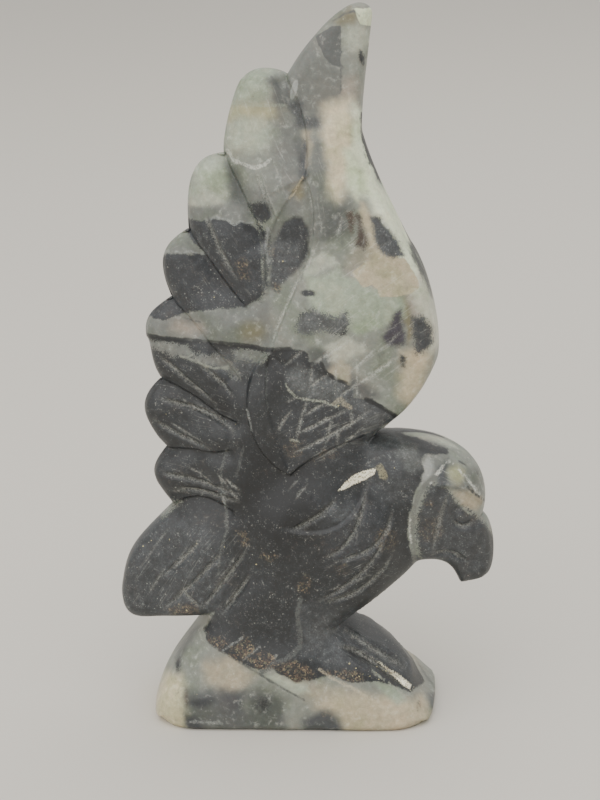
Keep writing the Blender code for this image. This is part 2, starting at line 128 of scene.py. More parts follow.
# The tones by their own names, for the tables.
(
    MILK, RIME, ICE, PEARL, FROST, MINT, STEEL, SAGE, FOG, ASH, PEWTER, SMOKE, HONEY, SAND, BUFF, BLUSH,
    LICHEN, OLIVE, SLATE, GRAPHITE, LEAD, CHARCOAL, SOOT, PLUM, UMBER, RUST, TAN, BRASS, LEAF, DUST, ROSE,
    LEAFY,
) = Tone


def smooth_step(value: np.ndarray) -> np.ndarray:
    """Soft step from 0 to 1."""
    value = np.clip(value, 0.0, 1.0)
    return value * value * (3.0 - 2.0 * value)


def nearest_part(points: np.ndarray, line: np.ndarray, closed: bool) -> tuple[np.ndarray, ...]:
    """Compare every point with every stretch of a line.

    Args:
        points: Rows of two coordinates.
        line: The line's points.
        closed: Whether the last point joins the first.

    Returns:
        Distance, side (1 on the left), share along the line and overshoot past its ends.
    """
    start = line if closed else line[:-1]
    step = (np.roll(line, -1, axis=0) if closed else line[1:]) - start
    length = np.hypot(step[:, 0], step[:, 1])
    before = np.concatenate([[0.0], np.cumsum(length)[:-1]])
    away_x = points[:, 0][:, None] - start[:, 0]
    away_z = points[:, 1][:, None] - start[:, 1]
    along = (away_x * step[:, 0] + away_z * step[:, 1]) / length ** 2
    held = np.clip(along, 0.0, 1.0)
    gap = (away_x - held * step[:, 0]) ** 2 + (away_z - held * step[:, 1]) ** 2
    best = gap.argmin(axis=1)
    rows = np.arange(len(points))
    cross = step[best, 0] * away_z[rows, best] - step[best, 1] * away_x[rows, best]
    share = (before[best] + held[rows, best] * length[best]) / length.sum()
    past = np.abs(along[rows, best] - held[rows, best]) * length[best]
    return np.sqrt(gap[rows, best]), np.sign(cross), share, past


def nearest(points: np.ndarray, line: np.ndarray, closed: bool = False) -> tuple[np.ndarray, ...]:
    """Compare points with a line a lot at a time; see nearest_part."""
    lots = max(1, math.ceil(len(points) * len(line) / PAIRS_AT_ONCE))
    found = [nearest_part(part, line, closed) for part in np.array_split(points, lots)]
    return tuple(np.concatenate(column) for column in zip(*found))


def inside(points: np.ndarray, outline: np.ndarray) -> np.ndarray:
    """Tell which points lie within a closed outline.

    Args:
        points: Rows of two coordinates.
        outline: The outline's points, in either order.

    Returns:
        One truth value for each point.
    """
    lots = max(1, math.ceil(len(points) * len(outline) / PAIRS_AT_ONCE))
    ax, az = outline[:, 0], outline[:, 1]
    bx, bz = np.roll(ax, -1), np.roll(az, -1)
    rise = np.where(bz == az, 1.0, bz - az)
    kept = []
    for part in np.array_split(points, lots):
        x, z = part[:, 0][:, None], part[:, 1][:, None]
        spans = (az > z) != (bz > z)
        crossing = spans & (x < (bx - ax) * (z - az) / rise + ax)
        kept.append(crossing.sum(axis=1) % 2 == 1)
    return np.concatenate(kept)


def cubic(start: Any, handle_a: Any, handle_b: Any, end: Any, spacing: float) -> list[tuple[float, float]]:
    """Sample one cubic, both ends included.

    Args:
        start: First point.
        handle_a: Handle of the first point.
        handle_b: Handle of the last point.
        end: Last point.
        spacing: About how far apart the samples lie.

    Returns:
        The samples, in order.
    """
    knots = [Vector((x, 0.0, z)) for x, z in (start, handle_a, handle_b, end)]
    reach = sum((b - a).length for a, b in zip(knots, knots[1:]))
    count = max(4, math.ceil(reach / spacing) + 1)
    return [(point.x, point.z) for point in interpolate_bezier(*knots, count)]


def outward(outline: np.ndarray) -> np.ndarray:
    """Directions out of an outline whose points run clockwise in the side view."""
    along = np.roll(outline, -1, axis=0) - np.roll(outline, 1, axis=0)
    along /= np.hypot(along[:, 0], along[:, 1])[:, None]
    return np.stack([-along[:, 1], along[:, 0]], axis=1)


def beside(line: np.ndarray, offset: float) -> np.ndarray:
    """A line's points moved sideways."""
    along = np.gradient(line, axis=0)
    along /= np.maximum(np.hypot(along[:, 0], along[:, 1]), 1e-9)[:, None]
    return line + offset * np.stack([-along[:, 1], along[:, 0]], axis=1)


def add(tree: bpy.types.NodeTree, kind: str, inputs: dict[Any, Any] | None = None, **settings: Any) -> Any:
    """Add one node with its settings, and its inputs as plain values or links.

    Args:
        tree: The node tree.
        kind: The node's type.
        inputs: Socket name or number to a value, a node or a node's output.
        settings: The node's own properties.

    Returns:
        The node.
    """
    node = tree.nodes.new(kind)
    for name, value in settings.items():
        setattr(node, name, value)
    for key, value in (inputs or {}).items():
        if isinstance(value, bpy.types.Node):
            value = value.outputs[0]
        if isinstance(value, bpy.types.NodeSocket):
            tree.links.new(value, node.inputs[key])
        else:
            node.inputs[key].default_value = value
    return node


def opened(name: str, sizes: dict[str, str]) -> tuple[bpy.types.NodeTree, Any]:
    """Start a tree that works on a mesh.

    Args:
        name: The tree's name.
        sizes: Name to kind, for the inputs of its own.

    Returns:
        The tree and its inputs.
    """
    tree = bpy.data.node_groups.new(name, "GeometryNodeTree")
    kinds = {"Geometry": "Geometry", **sizes, "Seed": "Int", "Finish": "Material"}
    for label, kind in kinds.items():
        tree.interface.new_socket(label, in_out="INPUT", socket_type=f"NodeSocket{kind}")
    tree.interface.new_socket("Geometry", in_out="OUTPUT", socket_type="NodeSocketGeometry")
    return tree, add(tree, "NodeGroupInput").outputs


def unevenness(tree: bpy.types.NodeTree, given: Any, size: Any, detail: float, roughness: float) -> Any:
    """Noise over the surface, from 0 to 1, about as coarse as a size in metres."""
    place = add(tree, "GeometryNodeInputPosition")
    pace = add(tree, "ShaderNodeMath", {0: 1.0, 1: size}, operation="DIVIDE")
    return add(
        tree, "ShaderNodeTexNoise",
        {"Vector": place, "W": given["Seed"], "Scale": pace, "Detail": detail, "Roughness": roughness},
        noise_dimensions="4D",
    )


def closed_by(tree: bpy.types.NodeTree, given: Any, surface: Any, rise: Any) -> bpy.types.NodeTree:
    """End a tree: move a surface out by a rise, make it real and give it the finish."""
    normal = add(tree, "GeometryNodeInputNormal")
    offset = add(tree, "ShaderNodeVectorMath", {0: normal, "Scale": rise}, operation="SCALE")
    moved = add(tree, "GeometryNodeSetPosition", {"Geometry": surface, "Offset": offset})
    real = add(tree, "GeometryNodeRealizeInstances", {"Geometry": moved})
    add(tree, "NodeGroupOutput", {
        0: add(tree, "GeometryNodeSetMaterial", {"Geometry": real, "Material": given["Finish"]}),
    })
    return tree


@dataclass(frozen=True)
class PhotoCamera:
    """The camera that took the photograph, in the part's own frame."""

    place: tuple[float, float, float] = (0.0573, -0.5025, 0.2560)
    azimuth: float = 6.0
    pitch: float = 18.0
    roll: float = 2.24
    focal_px: float = 1916.0
    frame_px: tuple[int, int] = (600, 800)
    sensor_mm: float = 36.0
    clip_start: float = 0.02
    cast_rounds: int = 6

    def axes(self) -> tuple[np.ndarray, np.ndarray, np.ndarray]:
        """The image's right, the image's down and the way it looks."""
        turn, tip, roll = (math.radians(a) for a in (self.azimuth, self.pitch, self.roll))
        level = np.array([-math.sin(turn), math.cos(turn), 0.0])
        right = np.array([math.cos(turn), math.sin(turn), 0.0])
        upright = np.array([0.0, 0.0, 1.0])
        forward = level * math.cos(tip) - upright * math.sin(tip)
        down = -(upright * math.cos(tip) + level * math.sin(tip))
        across = right * math.cos(roll) + down * math.sin(roll)
        along = -right * math.sin(roll) + down * math.cos(roll)
        return across, along, forward

    def project(self, points: np.ndarray) -> np.ndarray:
        """Where points of the frame fall in the photograph.

        Args:
            points: Rows of x, y and z.

        Returns:
            Rows of pixel coordinates.
        """
        across, along, forward = self.axes()
        away = points - np.array(self.place)
        depth = away @ forward
        centre = np.array(self.frame_px) / 2.0
        flat = np.stack([away @ across, away @ along], axis=1) / depth[:, None]
        return centre + self.focal_px * flat

    def cast(self, pixels: np.ndarray, form: "SlabForm") -> np.ndarray:
        """Follow pixels back to the near face of the slab.

        Args:
            pixels: Rows of pixel coordinates.
            form: The slab that they land on.

        Returns:
            Rows of x, y and z on the near face.
        """
        across, along, forward = self.axes()
        centre = np.array(self.frame_px) / 2.0
        flat = (pixels - centre) / self.focal_px
        rays = forward + flat[:, :1] * across + flat[:, 1:] * along
        start = np.array(self.place)
        y = np.full(len(pixels), -form.body_thickness / 3.0)
        for _ in range(self.cast_rounds):
            found = start + rays * ((y - start[1]) / rays[:, 1])[:, None]
            y = -form.half_depth(found[:, [0, 2]], plain=False)
        return start + rays * ((y - start[1]) / rays[:, 1])[:, None]

    def build(self) -> None:
        """Make the scene's camera."""
        across, along, forward = self.axes()
        data = bpy.data.cameras.new("photo_camera")
        data.sensor_width = self.sensor_mm
        data.lens = self.focal_px * self.sensor_mm / max(self.frame_px)
        data.clip_start = self.clip_start
        camera = bpy.data.objects.new("photo_camera", data)
        columns = (across, -along, -forward)
        turn = Matrix([[axis[row] for axis in columns] for row in range(3)])
        camera.matrix_world = Matrix.Translation(self.place) @ turn.to_4x4()
        bpy.context.scene.collection.objects.link(camera)
        bpy.context.scene.camera = camera


# The side view goes round clockwise from the tail's notch above the base. Each run is one
# cubic: its two handles and its end. It starts where the last one ended.
TAIL_NOTCH = (-23.2, 30.5)
BASE_WALL = 6.0
BACK_HANDLES = ((1.8, 7.0), (-5.3, -8.2))
TOE_HANDLE = (1.6, -4.4)
SIDE_VIEW: dict[str, tuple[Cubics, ...]] = {
    "tail underside": (((-36.0, 30.2), (-40.8, 27.4), (-45.0, 28.6)),),
    "tail end": (((-48.2, 29.5), (-49.4, 33.2), (-48.2, 38.4)),),
    "tail back": (((-46.2, 49.0), (-43.0, 50.6), (-32.4, 61.6)),),
    "seventh feather": (((-36.2, 70.4), (-40.6, 70.0), (-33.0, 78.7)),),
    "sixth feather": (((-38.0, 86.1), (-42.7, 91.2), (-33.4, 98.7)),),
    "fifth feather": (
        ((-36.7, 104.1), (-35.4, 109.4), (-36.9, 111.1)), ((-37.5, 116.8), (-34.6, 118.2), (-29.2, 122.0)),
    ),
    "fourth feather": (((-33.2, 133.0), (-31.0, 136.7), (-23.5, 140.8)),),
    "third feather": (((-24.0, 159.9), (-18.2, 160.6), (-12.8, 161.2)),),
    "second feather": (
        ((-13.6, 164.2), (-9.2, 179.8), (-7.1, 180.9)), ((-3.2, 185.2), (3.9, 182.5), (4.7, 181.2)),
    ),
    "wing tip": (
        ((7.8, 187.2), (18.3, 199.5), (23.8, 199.5)), ((25.5, 199.5), (26.8, 198.6), (26.7, 196.8)),
    ),
    "wing front": (
        ((25.8, 189.8), (22.8, 171.5), (23.3, 166.2)), ((24.7, 159.2), (32.1, 142.0), (35.8, 134.9)),
        ((40.2, 128.8), (43.7, 111.8), (42.4, 105.1)), ((37.5, 92.3), (28.4, 86.5), (24.2, 82.0)),
    ),
    "nape and crown": (
        ((37.4, 81.6), (42.9, 80.8), (48.9, 76.4)), ((55.6, 71.8), (55.8, 63.1), (53.9, 58.2)),
    ),
    "beak": (
        ((57.9, 56.8), (58.2, 41.6), (54.9, 40.1)), ((54.0, 38.6), (49.0, 38.4), (48.3, 38.4)),
        ((46.4, 43.0), (44.6, 46.0), (39.6, 46.1)),
    ),
    "breast": (((34.9, 46.1), (37.0, 45.2), (31.2, 40.8)), ((24.2, 35.1), (17.8, 31.6), (13.8, 27.0))),
    "foot": (((18.6, 23.8), (29.4, 21.0), (33.8, 10.8)),),
}

# Lines where one form lies over the next, upper form on the left going along the line.
ARM_LINE: Cubics = (
    (4.7, 181.2), (9.0, 175.0), (10.8, 164.0), (8.9, 155.9), (11.8, 150.0), (11.8, 139.0), (7.6, 131.1),
    (4.4, 123.6), (0.4, 115.8), (-1.7, 109.2), (-12.6, 103.0), (-10.6, 80.0), (2.4, 74.6), (8.6, 81.0),
    (18.0, 84.0), (27.6, 86.2),
)
COVERT_LINE: Cubics = ((1.3, 77.6), (-3.6, 92.0), (-4.6, 102.0), (-1.9, 109.0))
FEATHER_LINES: tuple[Cubics, ...] = (
    ((-12.8, 161.2), (-10.9, 157.6), (-6.0, 147.0), (-2.3, 139.1)),
    ((-23.5, 140.8), (-19.6, 136.4), (-15.6, 128.2), (-9.3, 121.8)),
    ((-29.2, 122.0), (-24.6, 118.0), (-16.0, 108.2), (-11.9, 102.1)),
    ((-33.4, 98.7), (-29.0, 99.6), (-22.0, 92.6), (-13.0, 89.2)),
    ((-33.0, 78.7), (-29.0, 80.6), (-22.0, 79.6), (-15.2, 80.8)),
    ((-32.4, 61.6), (-29.4, 66.2), (-22.0, 67.4), (-15.4, 63.2)),
)
ROOT_LINE: Cubics = ((-2.1, 125.6), (-4.6, 136.0), (1.0, 147.4), (8.9, 155.9))
BROW_LINE: Cubics = ((43.6, 70.0), (48.0, 70.8), (52.8, 67.0), (54.8, 61.6))
NECK_LINE: Cubics = ((22.7, 69.6), (19.6, 60.0), (11.0, 57.6), (2.4, 59.6))

# Engraved lines: start, two handles and end.
WING_CUTS: tuple[Cubics, ...] = (
    ((-18.3, 144.9), (-16.8, 140.5), (-13.6, 133.2), (-10.5, 128.3)),
    ((-3.9, 157.3), (-3.2, 154.2), (-1.2, 148.6), (0.3, 144.9)),
    ((-33.5, 106.6), (-29.4, 103.8), (-22.8, 97.2), (-17.7, 93.9)),
    ((-21.4, 104.6), (-18.8, 102.8), (-15.0, 99.2), (-12.8, 96.3)),
    ((-34.1, 94.3), (-27.4, 92.4), (-17.6, 90.6), (-12.7, 86.2)),
    ((-36.1, 88.4), (-31.6, 85.6), (-26.0, 82.2), (-19.6, 81.4)),
    ((-34.6, 73.0), (-28.0, 71.6), (-20.0, 70.4), (-12.2, 68.8)),
    ((-30.6, 68.7), (-26.0, 67.9), (-18.0, 67.6), (-12.2, 66.4)),
)
TAIL_CUTS: tuple[Cubics, ...] = (
    ((-23.6, 55.1), (-26.6, 50.6), (-31.0, 46.0), (-35.6, 42.3)),
    ((-17.7, 51.6), (-22.4, 46.0), (-29.0, 38.8), (-35.6, 32.6)),
    ((-11.1, 51.9), (-14.8, 45.8), (-19.6, 39.8), (-24.3, 34.4)),
    ((-10.2, 44.9), (-12.6, 41.0), (-15.4, 36.8), (-18.4, 33.1)),
    ((-29.1, 38.6), (-28.0, 37.2), (-26.4, 36.0), (-24.8, 34.7)),
)
NECK_CUTS: tuple[Cubics, ...] = (
    ((22.7, 69.6), (22.0, 60.6), (17.0, 52.4), (11.7, 51.8)),
    ((30.0, 63.7), (28.8, 54.4), (20.6, 51.2), (14.1, 50.2)),
    ((28.0, 57.1), (24.8, 48.0), (17.0, 41.4), (9.3, 38.7)),
    ((29.7, 51.0), (25.0, 43.0), (19.0, 38.4), (11.2, 38.0)),
    ((2.4, 59.6), (6.6, 61.4), (11.8, 64.6), (14.9, 67.9)),
)
CHEEK_CUT: Cubics = ((45.6, 69.0), (43.4, 62.6), (41.8, 55.6), (40.8, 49.9))
LID_CUT: Cubics = ((46.6, 59.0), (47.6, 57.0), (50.4, 56.4), (51.6, 58.2))
MOUTH_CUT: Cubics = ((40.4, 48.9), (43.6, 50.3), (47.4, 49.2), (50.3, 45.2))
TOE_CUTS: tuple[Cubics, ...] = (
    ((11.6, 28.5), (18.4, 23.6), (27.6, 16.8), (35.8, 10.2)),
    ((14.3, 23.7), (20.0, 20.0), (28.0, 13.8), (33.6, 8.2)),
)
EYE_CENTRE = (49.3, 60.4)


@dataclass
class SlabForm:
    """The carved slab: its side view, its thickness and the relief of its two faces."""

    height: float = 0.200
    base_length: float = 0.080
    base_thickness: float = 0.041
    body_thickness: float = 0.034
    leg_thickness: float = 0.033
    head_thickness: float = 0.023
    beak_thickness: float = 0.009
    tail_thickness: float = 0.015
    shoulder_thickness: float = 0.023
    wing_thickness: float = 0.014
    tip_thickness: float = 0.007
    feather_thickness: float = 0.010
    wing_rounding: float = 0.003
    feather_rounding: float = 0.006
    head_rounding: float = 0.010
    body_rounding: float = 0.013
    base_rounding: float = 0.011
    floor_bevel: float = 0.0012
    corner_in_bevels: float = 1.6
    edge_crown: float = 0.0005
    feather_step: float = 0.0015
    feather_valley: float = 0.0017
    valley_width: float = 0.0028
    arm_step: float = 0.0018
    covert_step: float = 0.0009
    root_step: float = 0.0009
    brow_step: float = 0.0015
    neck_step: float = 0.00105
    step_width: float = 0.0009
    step_reach: float = 0.009
    short_reach: float = 0.0036
    face_reach: float = 0.00315
    step_run_out: float = 0.0027
    cut_width: float = 0.0016
    cut_depth: float = 0.0008
    fine_cut_depth: float = 0.00056
    cut_reach: float = 0.62
    run_out: float = 0.22
    mouth_width: float = 0.0022
    mouth_depth: float = 0.0013
    toe_cut_width: float = 0.0028
    toe_cut_depth: float = 0.0030
    eye_diameter: float = 0.0050
    eye_relief: float = 0.0007
    eye_ring_depth: float = 0.00056
    eye_ring_radii: float = 1.15
    eye_ring_spread: float = 0.3
    blend_reach: float = 5.5
    blend_power: float = 2.2
    edge_spacing: float = 0.00062
    line_spacing: float = 0.0008
    outline: np.ndarray = field(init=False)
    floor_count: int = field(init=False)
    edge: np.ndarray = field(init=False)

    def __post_init__(self) -> None:
        """Trace the side view once, and the part of it that is above the floor."""
        self.outline, self.floor_count = self.side_view()
        self.edge = np.vstack([self.outline[self.floor_count - 1:], self.outline[:1]])

    @property
    def share(self) -> float:
        """One two-hundredth of the height."""
        return self.height / 200.0

    def scaled(self, points: Any) -> list[tuple[float, float]]:
        """Shares of the height as metres."""
        return [(x * self.share, z * self.share) for x, z in points]

    def shifted(self, place: Any, step: Any) -> tuple[float, float]:
        """A place in metres moved by a step given in shares."""
        return place[0] + step[0] * self.share, place[1] + step[1] * self.share

    def chain(self, points: Any) -> np.ndarray:
        """One open line from a start and three points for each cubic after it."""
        points = self.scaled(points)
        line = [points[0]]
        for first in range(0, len(points) - 1, 3):
            line += cubic(*points[first:first + 4], self.line_spacing)[1:]
        return np.array(line)

    def side_view(self) -> tuple[np.ndarray, int]:
        """Trace the slab's closed outline.

        Returns:
            The outline's points, clockwise, and how many of its first ones lie on the floor.
        """
        half, corner = self.base_length / 2, self.floor_bevel * self.corner_in_bevels
        wall, gap = BASE_WALL * self.share, self.edge_spacing
        steps = round(self.base_length / gap)
        floor = [(x, 0.0) for x in np.linspace(half - corner, corner - half, steps)]
        line = list(floor)
        line += cubic(floor[-1], (-half, 0.0), (-half, corner), (-half, wall / 2), gap)[1:]
        notch = self.scaled([TAIL_NOTCH])[0]
        low, high = BACK_HANDLES
        line += cubic(line[-1], self.shifted((-half, wall), low), self.shifted(notch, high), notch, gap)[1:]
        for runs in SIDE_VIEW.values():
            for run in runs:
                line += cubic(line[-1], *self.scaled(run), gap)[1:]
        toes = line[-1]
        line += cubic(toes, self.shifted(toes, TOE_HANDLE), (half, wall / 2), (half, wall / 2), gap)[1:]
        line += cubic(line[-1], (half, corner), (half, 0.0), floor[0], gap)[1:-1]
        return np.array(line), steps

    def stations(self) -> np.ndarray:
        """Places in the side view with the slab's section there.

        Returns:
            Rows of x and z in shares, thickness, flat part of the edge and rounding's reach.
        """
        wing, feather, shoulder = self.wing_thickness, self.feather_thickness, self.shoulder_thickness
        body, head, base = self.body_thickness, self.head_thickness, self.base_thickness
        crisp, soft, full = self.wing_rounding, self.feather_rounding, self.body_rounding
        round_head, round_base = self.head_rounding, self.base_rounding
        return np.array([
            (21.4, 195.0, self.tip_thickness, 0.40, crisp),
            (14.4, 178.0, self.tip_thickness * 1.3, 0.55, crisp),
            (23.4, 164.0, wing, 0.68, crisp),
            (13.4, 146.0, wing * 1.25, 0.60, soft),
            (34.0, 138.0, shoulder * 0.88, 0.72, crisp),
            (40.4, 118.0, shoulder, 0.74, crisp),
            (38.4, 98.0, shoulder, 0.68, crisp * 1.5),
            (21.4, 114.0, shoulder * 1.14, 0.60, soft),
            (3.4, 94.0, shoulder * 1.2, 0.55, soft),
            (-3.6, 174.0, feather, 0.28, soft),
            (-18.6, 152.0, feather, 0.28, soft),
            (-24.6, 132.0, feather * 1.1, 0.28, soft),
            (-31.6, 113.0, feather * 1.15, 0.28, soft),
            (-32.6, 90.0, feather * 1.3, 0.28, soft * 1.2),
            (-30.6, 71.0, feather * 1.5, 0.28, soft * 1.3),
            (-4.6, 140.0, wing * 1.1, 0.50, soft),
            (-12.6, 108.0, wing * 1.4, 0.50, soft),
            (-12.6, 78.0, body * 0.76, 0.50, full),
            (-43.6, 38.0, self.tail_thickness, 0.46, soft),
            (-36.6, 52.0, self.tail_thickness, 0.42, soft * 1.4),
            (-20.6, 46.0, body * 0.76, 0.50, soft * 1.4),
            (7.4, 56.0, body, 0.50, full),
            (23.4, 54.0, body * 0.94, 0.48, full),
            (29.4, 78.0, head * 1.04, 0.42, round_head),
            (42.4, 68.0, head, 0.34, round_head),
            (50.0, 60.0, head * 0.74, 0.34, round_head * 0.8),
            (53.4, 45.0, self.beak_thickness, 0.36, round_head * 0.45),
            (48.4, 50.0, head * 0.6, 0.40, round_head * 0.5),
            (39.4, 53.0, head * 0.82, 0.44, round_head * 0.6),
            (-2.6, 34.0, self.leg_thickness, 0.60, full),
            (15.4, 27.0, self.leg_thickness, 0.50, full),
            (28.4, 14.0, base * 0.84, 0.22, round_base * 1.3),
            (-28.6, 20.0, base * 0.86, 0.42, round_base),
            (-4.0, 12.0, base * 0.97, 0.50, round_base),
            (-2.6, 1.0, base, 0.60, round_base),
            (-36.6, 4.0, base, 0.42, round_base),
            (35.4, 3.0, base, 0.52, round_base),
            (19.4, 2.0, base, 0.50, round_base),
            (-20.6, 2.0, base, 0.50, round_base),
        ])

    def blended(self, points: np.ndarray) -> np.ndarray:
        """Thickness, edge part and rounding at each point, blended from the stations."""
        table = self.stations()
        places = table[:, :2] * self.share
        apart = ((points[:, None, :] - places[None]) ** 2).sum(axis=2)
        weight = 1.0 / (apart + (self.blend_reach * self.share) ** 2) ** self.blend_power
        weight /= weight.sum(axis=1, keepdims=True)
        return (weight @ table[:, 2:]).T

    def overlap(self, points: np.ndarray, line: np.ndarray, height: float, reach: float) -> np.ndarray:
        """Rise on the left of a line and fall on its right, dying away over the reach."""
        distance, side, _, past = nearest(points, line)
        ramp = 2.0 * smooth_step(0.5 + side * distance / self.step_width) - 1.0
        fade = 1.0 - smooth_step(past / self.step_run_out)
        return 0.5 * height * ramp * np.exp(-distance / reach) * fade

    def cut(self, points: np.ndarray, line: np.ndarray, width: float, depth: float) -> np.ndarray:
        """Depth of an engraved line with a round bottom that runs out at both ends."""
        distance, _, share, _ = nearest(points, line)
        ends = smooth_step(share / self.run_out) * smooth_step((1.0 - share) / self.run_out)
        return depth * ends * smooth_step(1.0 - distance / (self.cut_reach * width))

    def overlap_lines(self) -> list[tuple[np.ndarray, float, float]]:
        """Every line where one form lies over another, with its height and reach."""
        lines = [(ARM_LINE, self.arm_step, self.step_reach)]
        lines += [(points, self.feather_step, self.step_reach) for points in FEATHER_LINES]
        lines += [
            (COVERT_LINE, self.covert_step, self.short_reach), (ROOT_LINE, self.root_step, self.short_reach),
            (BROW_LINE, self.brow_step, self.face_reach), (NECK_LINE, self.neck_step, self.face_reach),
        ]
        return [(self.chain(points), height, reach) for points, height, reach in lines]

    def shallow_lines(self, plain: bool) -> list[np.ndarray]:
        """The engraved lines of feathers, tail and neck; the plain face has every second one."""
        lines = [self.chain(points) for points in WING_CUTS + TAIL_CUTS + NECK_CUTS]
        return lines[::2] if plain else lines

    def cut_lines(self, plain: bool) -> list[tuple[np.ndarray, float, float]]:
        """Engraved lines with their widths and depths."""
        width, depth = self.cut_width, self.cut_depth
        lines = [(line, width, depth) for line in self.shallow_lines(plain)]
        lines += [(self.chain(points), width, self.fine_cut_depth) for points in (CHEEK_CUT, LID_CUT)]
        lines.append((self.chain(MOUTH_CUT), self.mouth_width, self.mouth_depth))
        lines += [(self.chain(points), self.toe_cut_width, self.toe_cut_depth) for points in TOE_CUTS]
        return lines

    def eye(self, points: np.ndarray) -> np.ndarray:
        """A low round eye in a ring-shaped groove."""
        centre = np.array(EYE_CENTRE) * self.share
        away = np.hypot(*(points - centre).T) / (self.eye_diameter / 2)
        dome = self.eye_relief * (1.0 - smooth_step(away))
        ring = np.exp(-((away - self.eye_ring_radii) / self.eye_ring_spread) ** 2)
        return dome - self.eye_ring_depth * ring

    def half_depth(self, points: np.ndarray, plain: bool) -> np.ndarray:
        """Distance from the slab's middle plane to a carved face.

        Args:
            points: Rows of x and z.
            plain: Whether it is the plainer far face.

        Returns:
            The distance at each point.
        """
        thickness, flat, rounding = self.blended(points)
        inward = np.clip(nearest(points, self.edge)[0] / rounding, 0.0, 1.0)
        shoulder = np.sqrt(1.0 - (1.0 - inward) ** 2)
        depth = 0.5 * thickness * (flat + (1.0 - flat) * shoulder)
        for line, height, reach in self.overlap_lines():
            depth += self.overlap(points, line, height, reach)
        for valley in FEATHER_LINES:
            away = nearest(points, self.chain(valley))[0] / self.valley_width
            depth -= self.feather_valley * np.exp(-away ** 2)
        for line, width, deep in self.cut_lines(plain):
            depth -= self.cut(points, line, width, deep)
        floor = np.clip(points[:, 1] / self.floor_bevel, 0.0, 1.0)
        return depth + self.eye(points) - self.floor_bevel * (1.0 - floor)


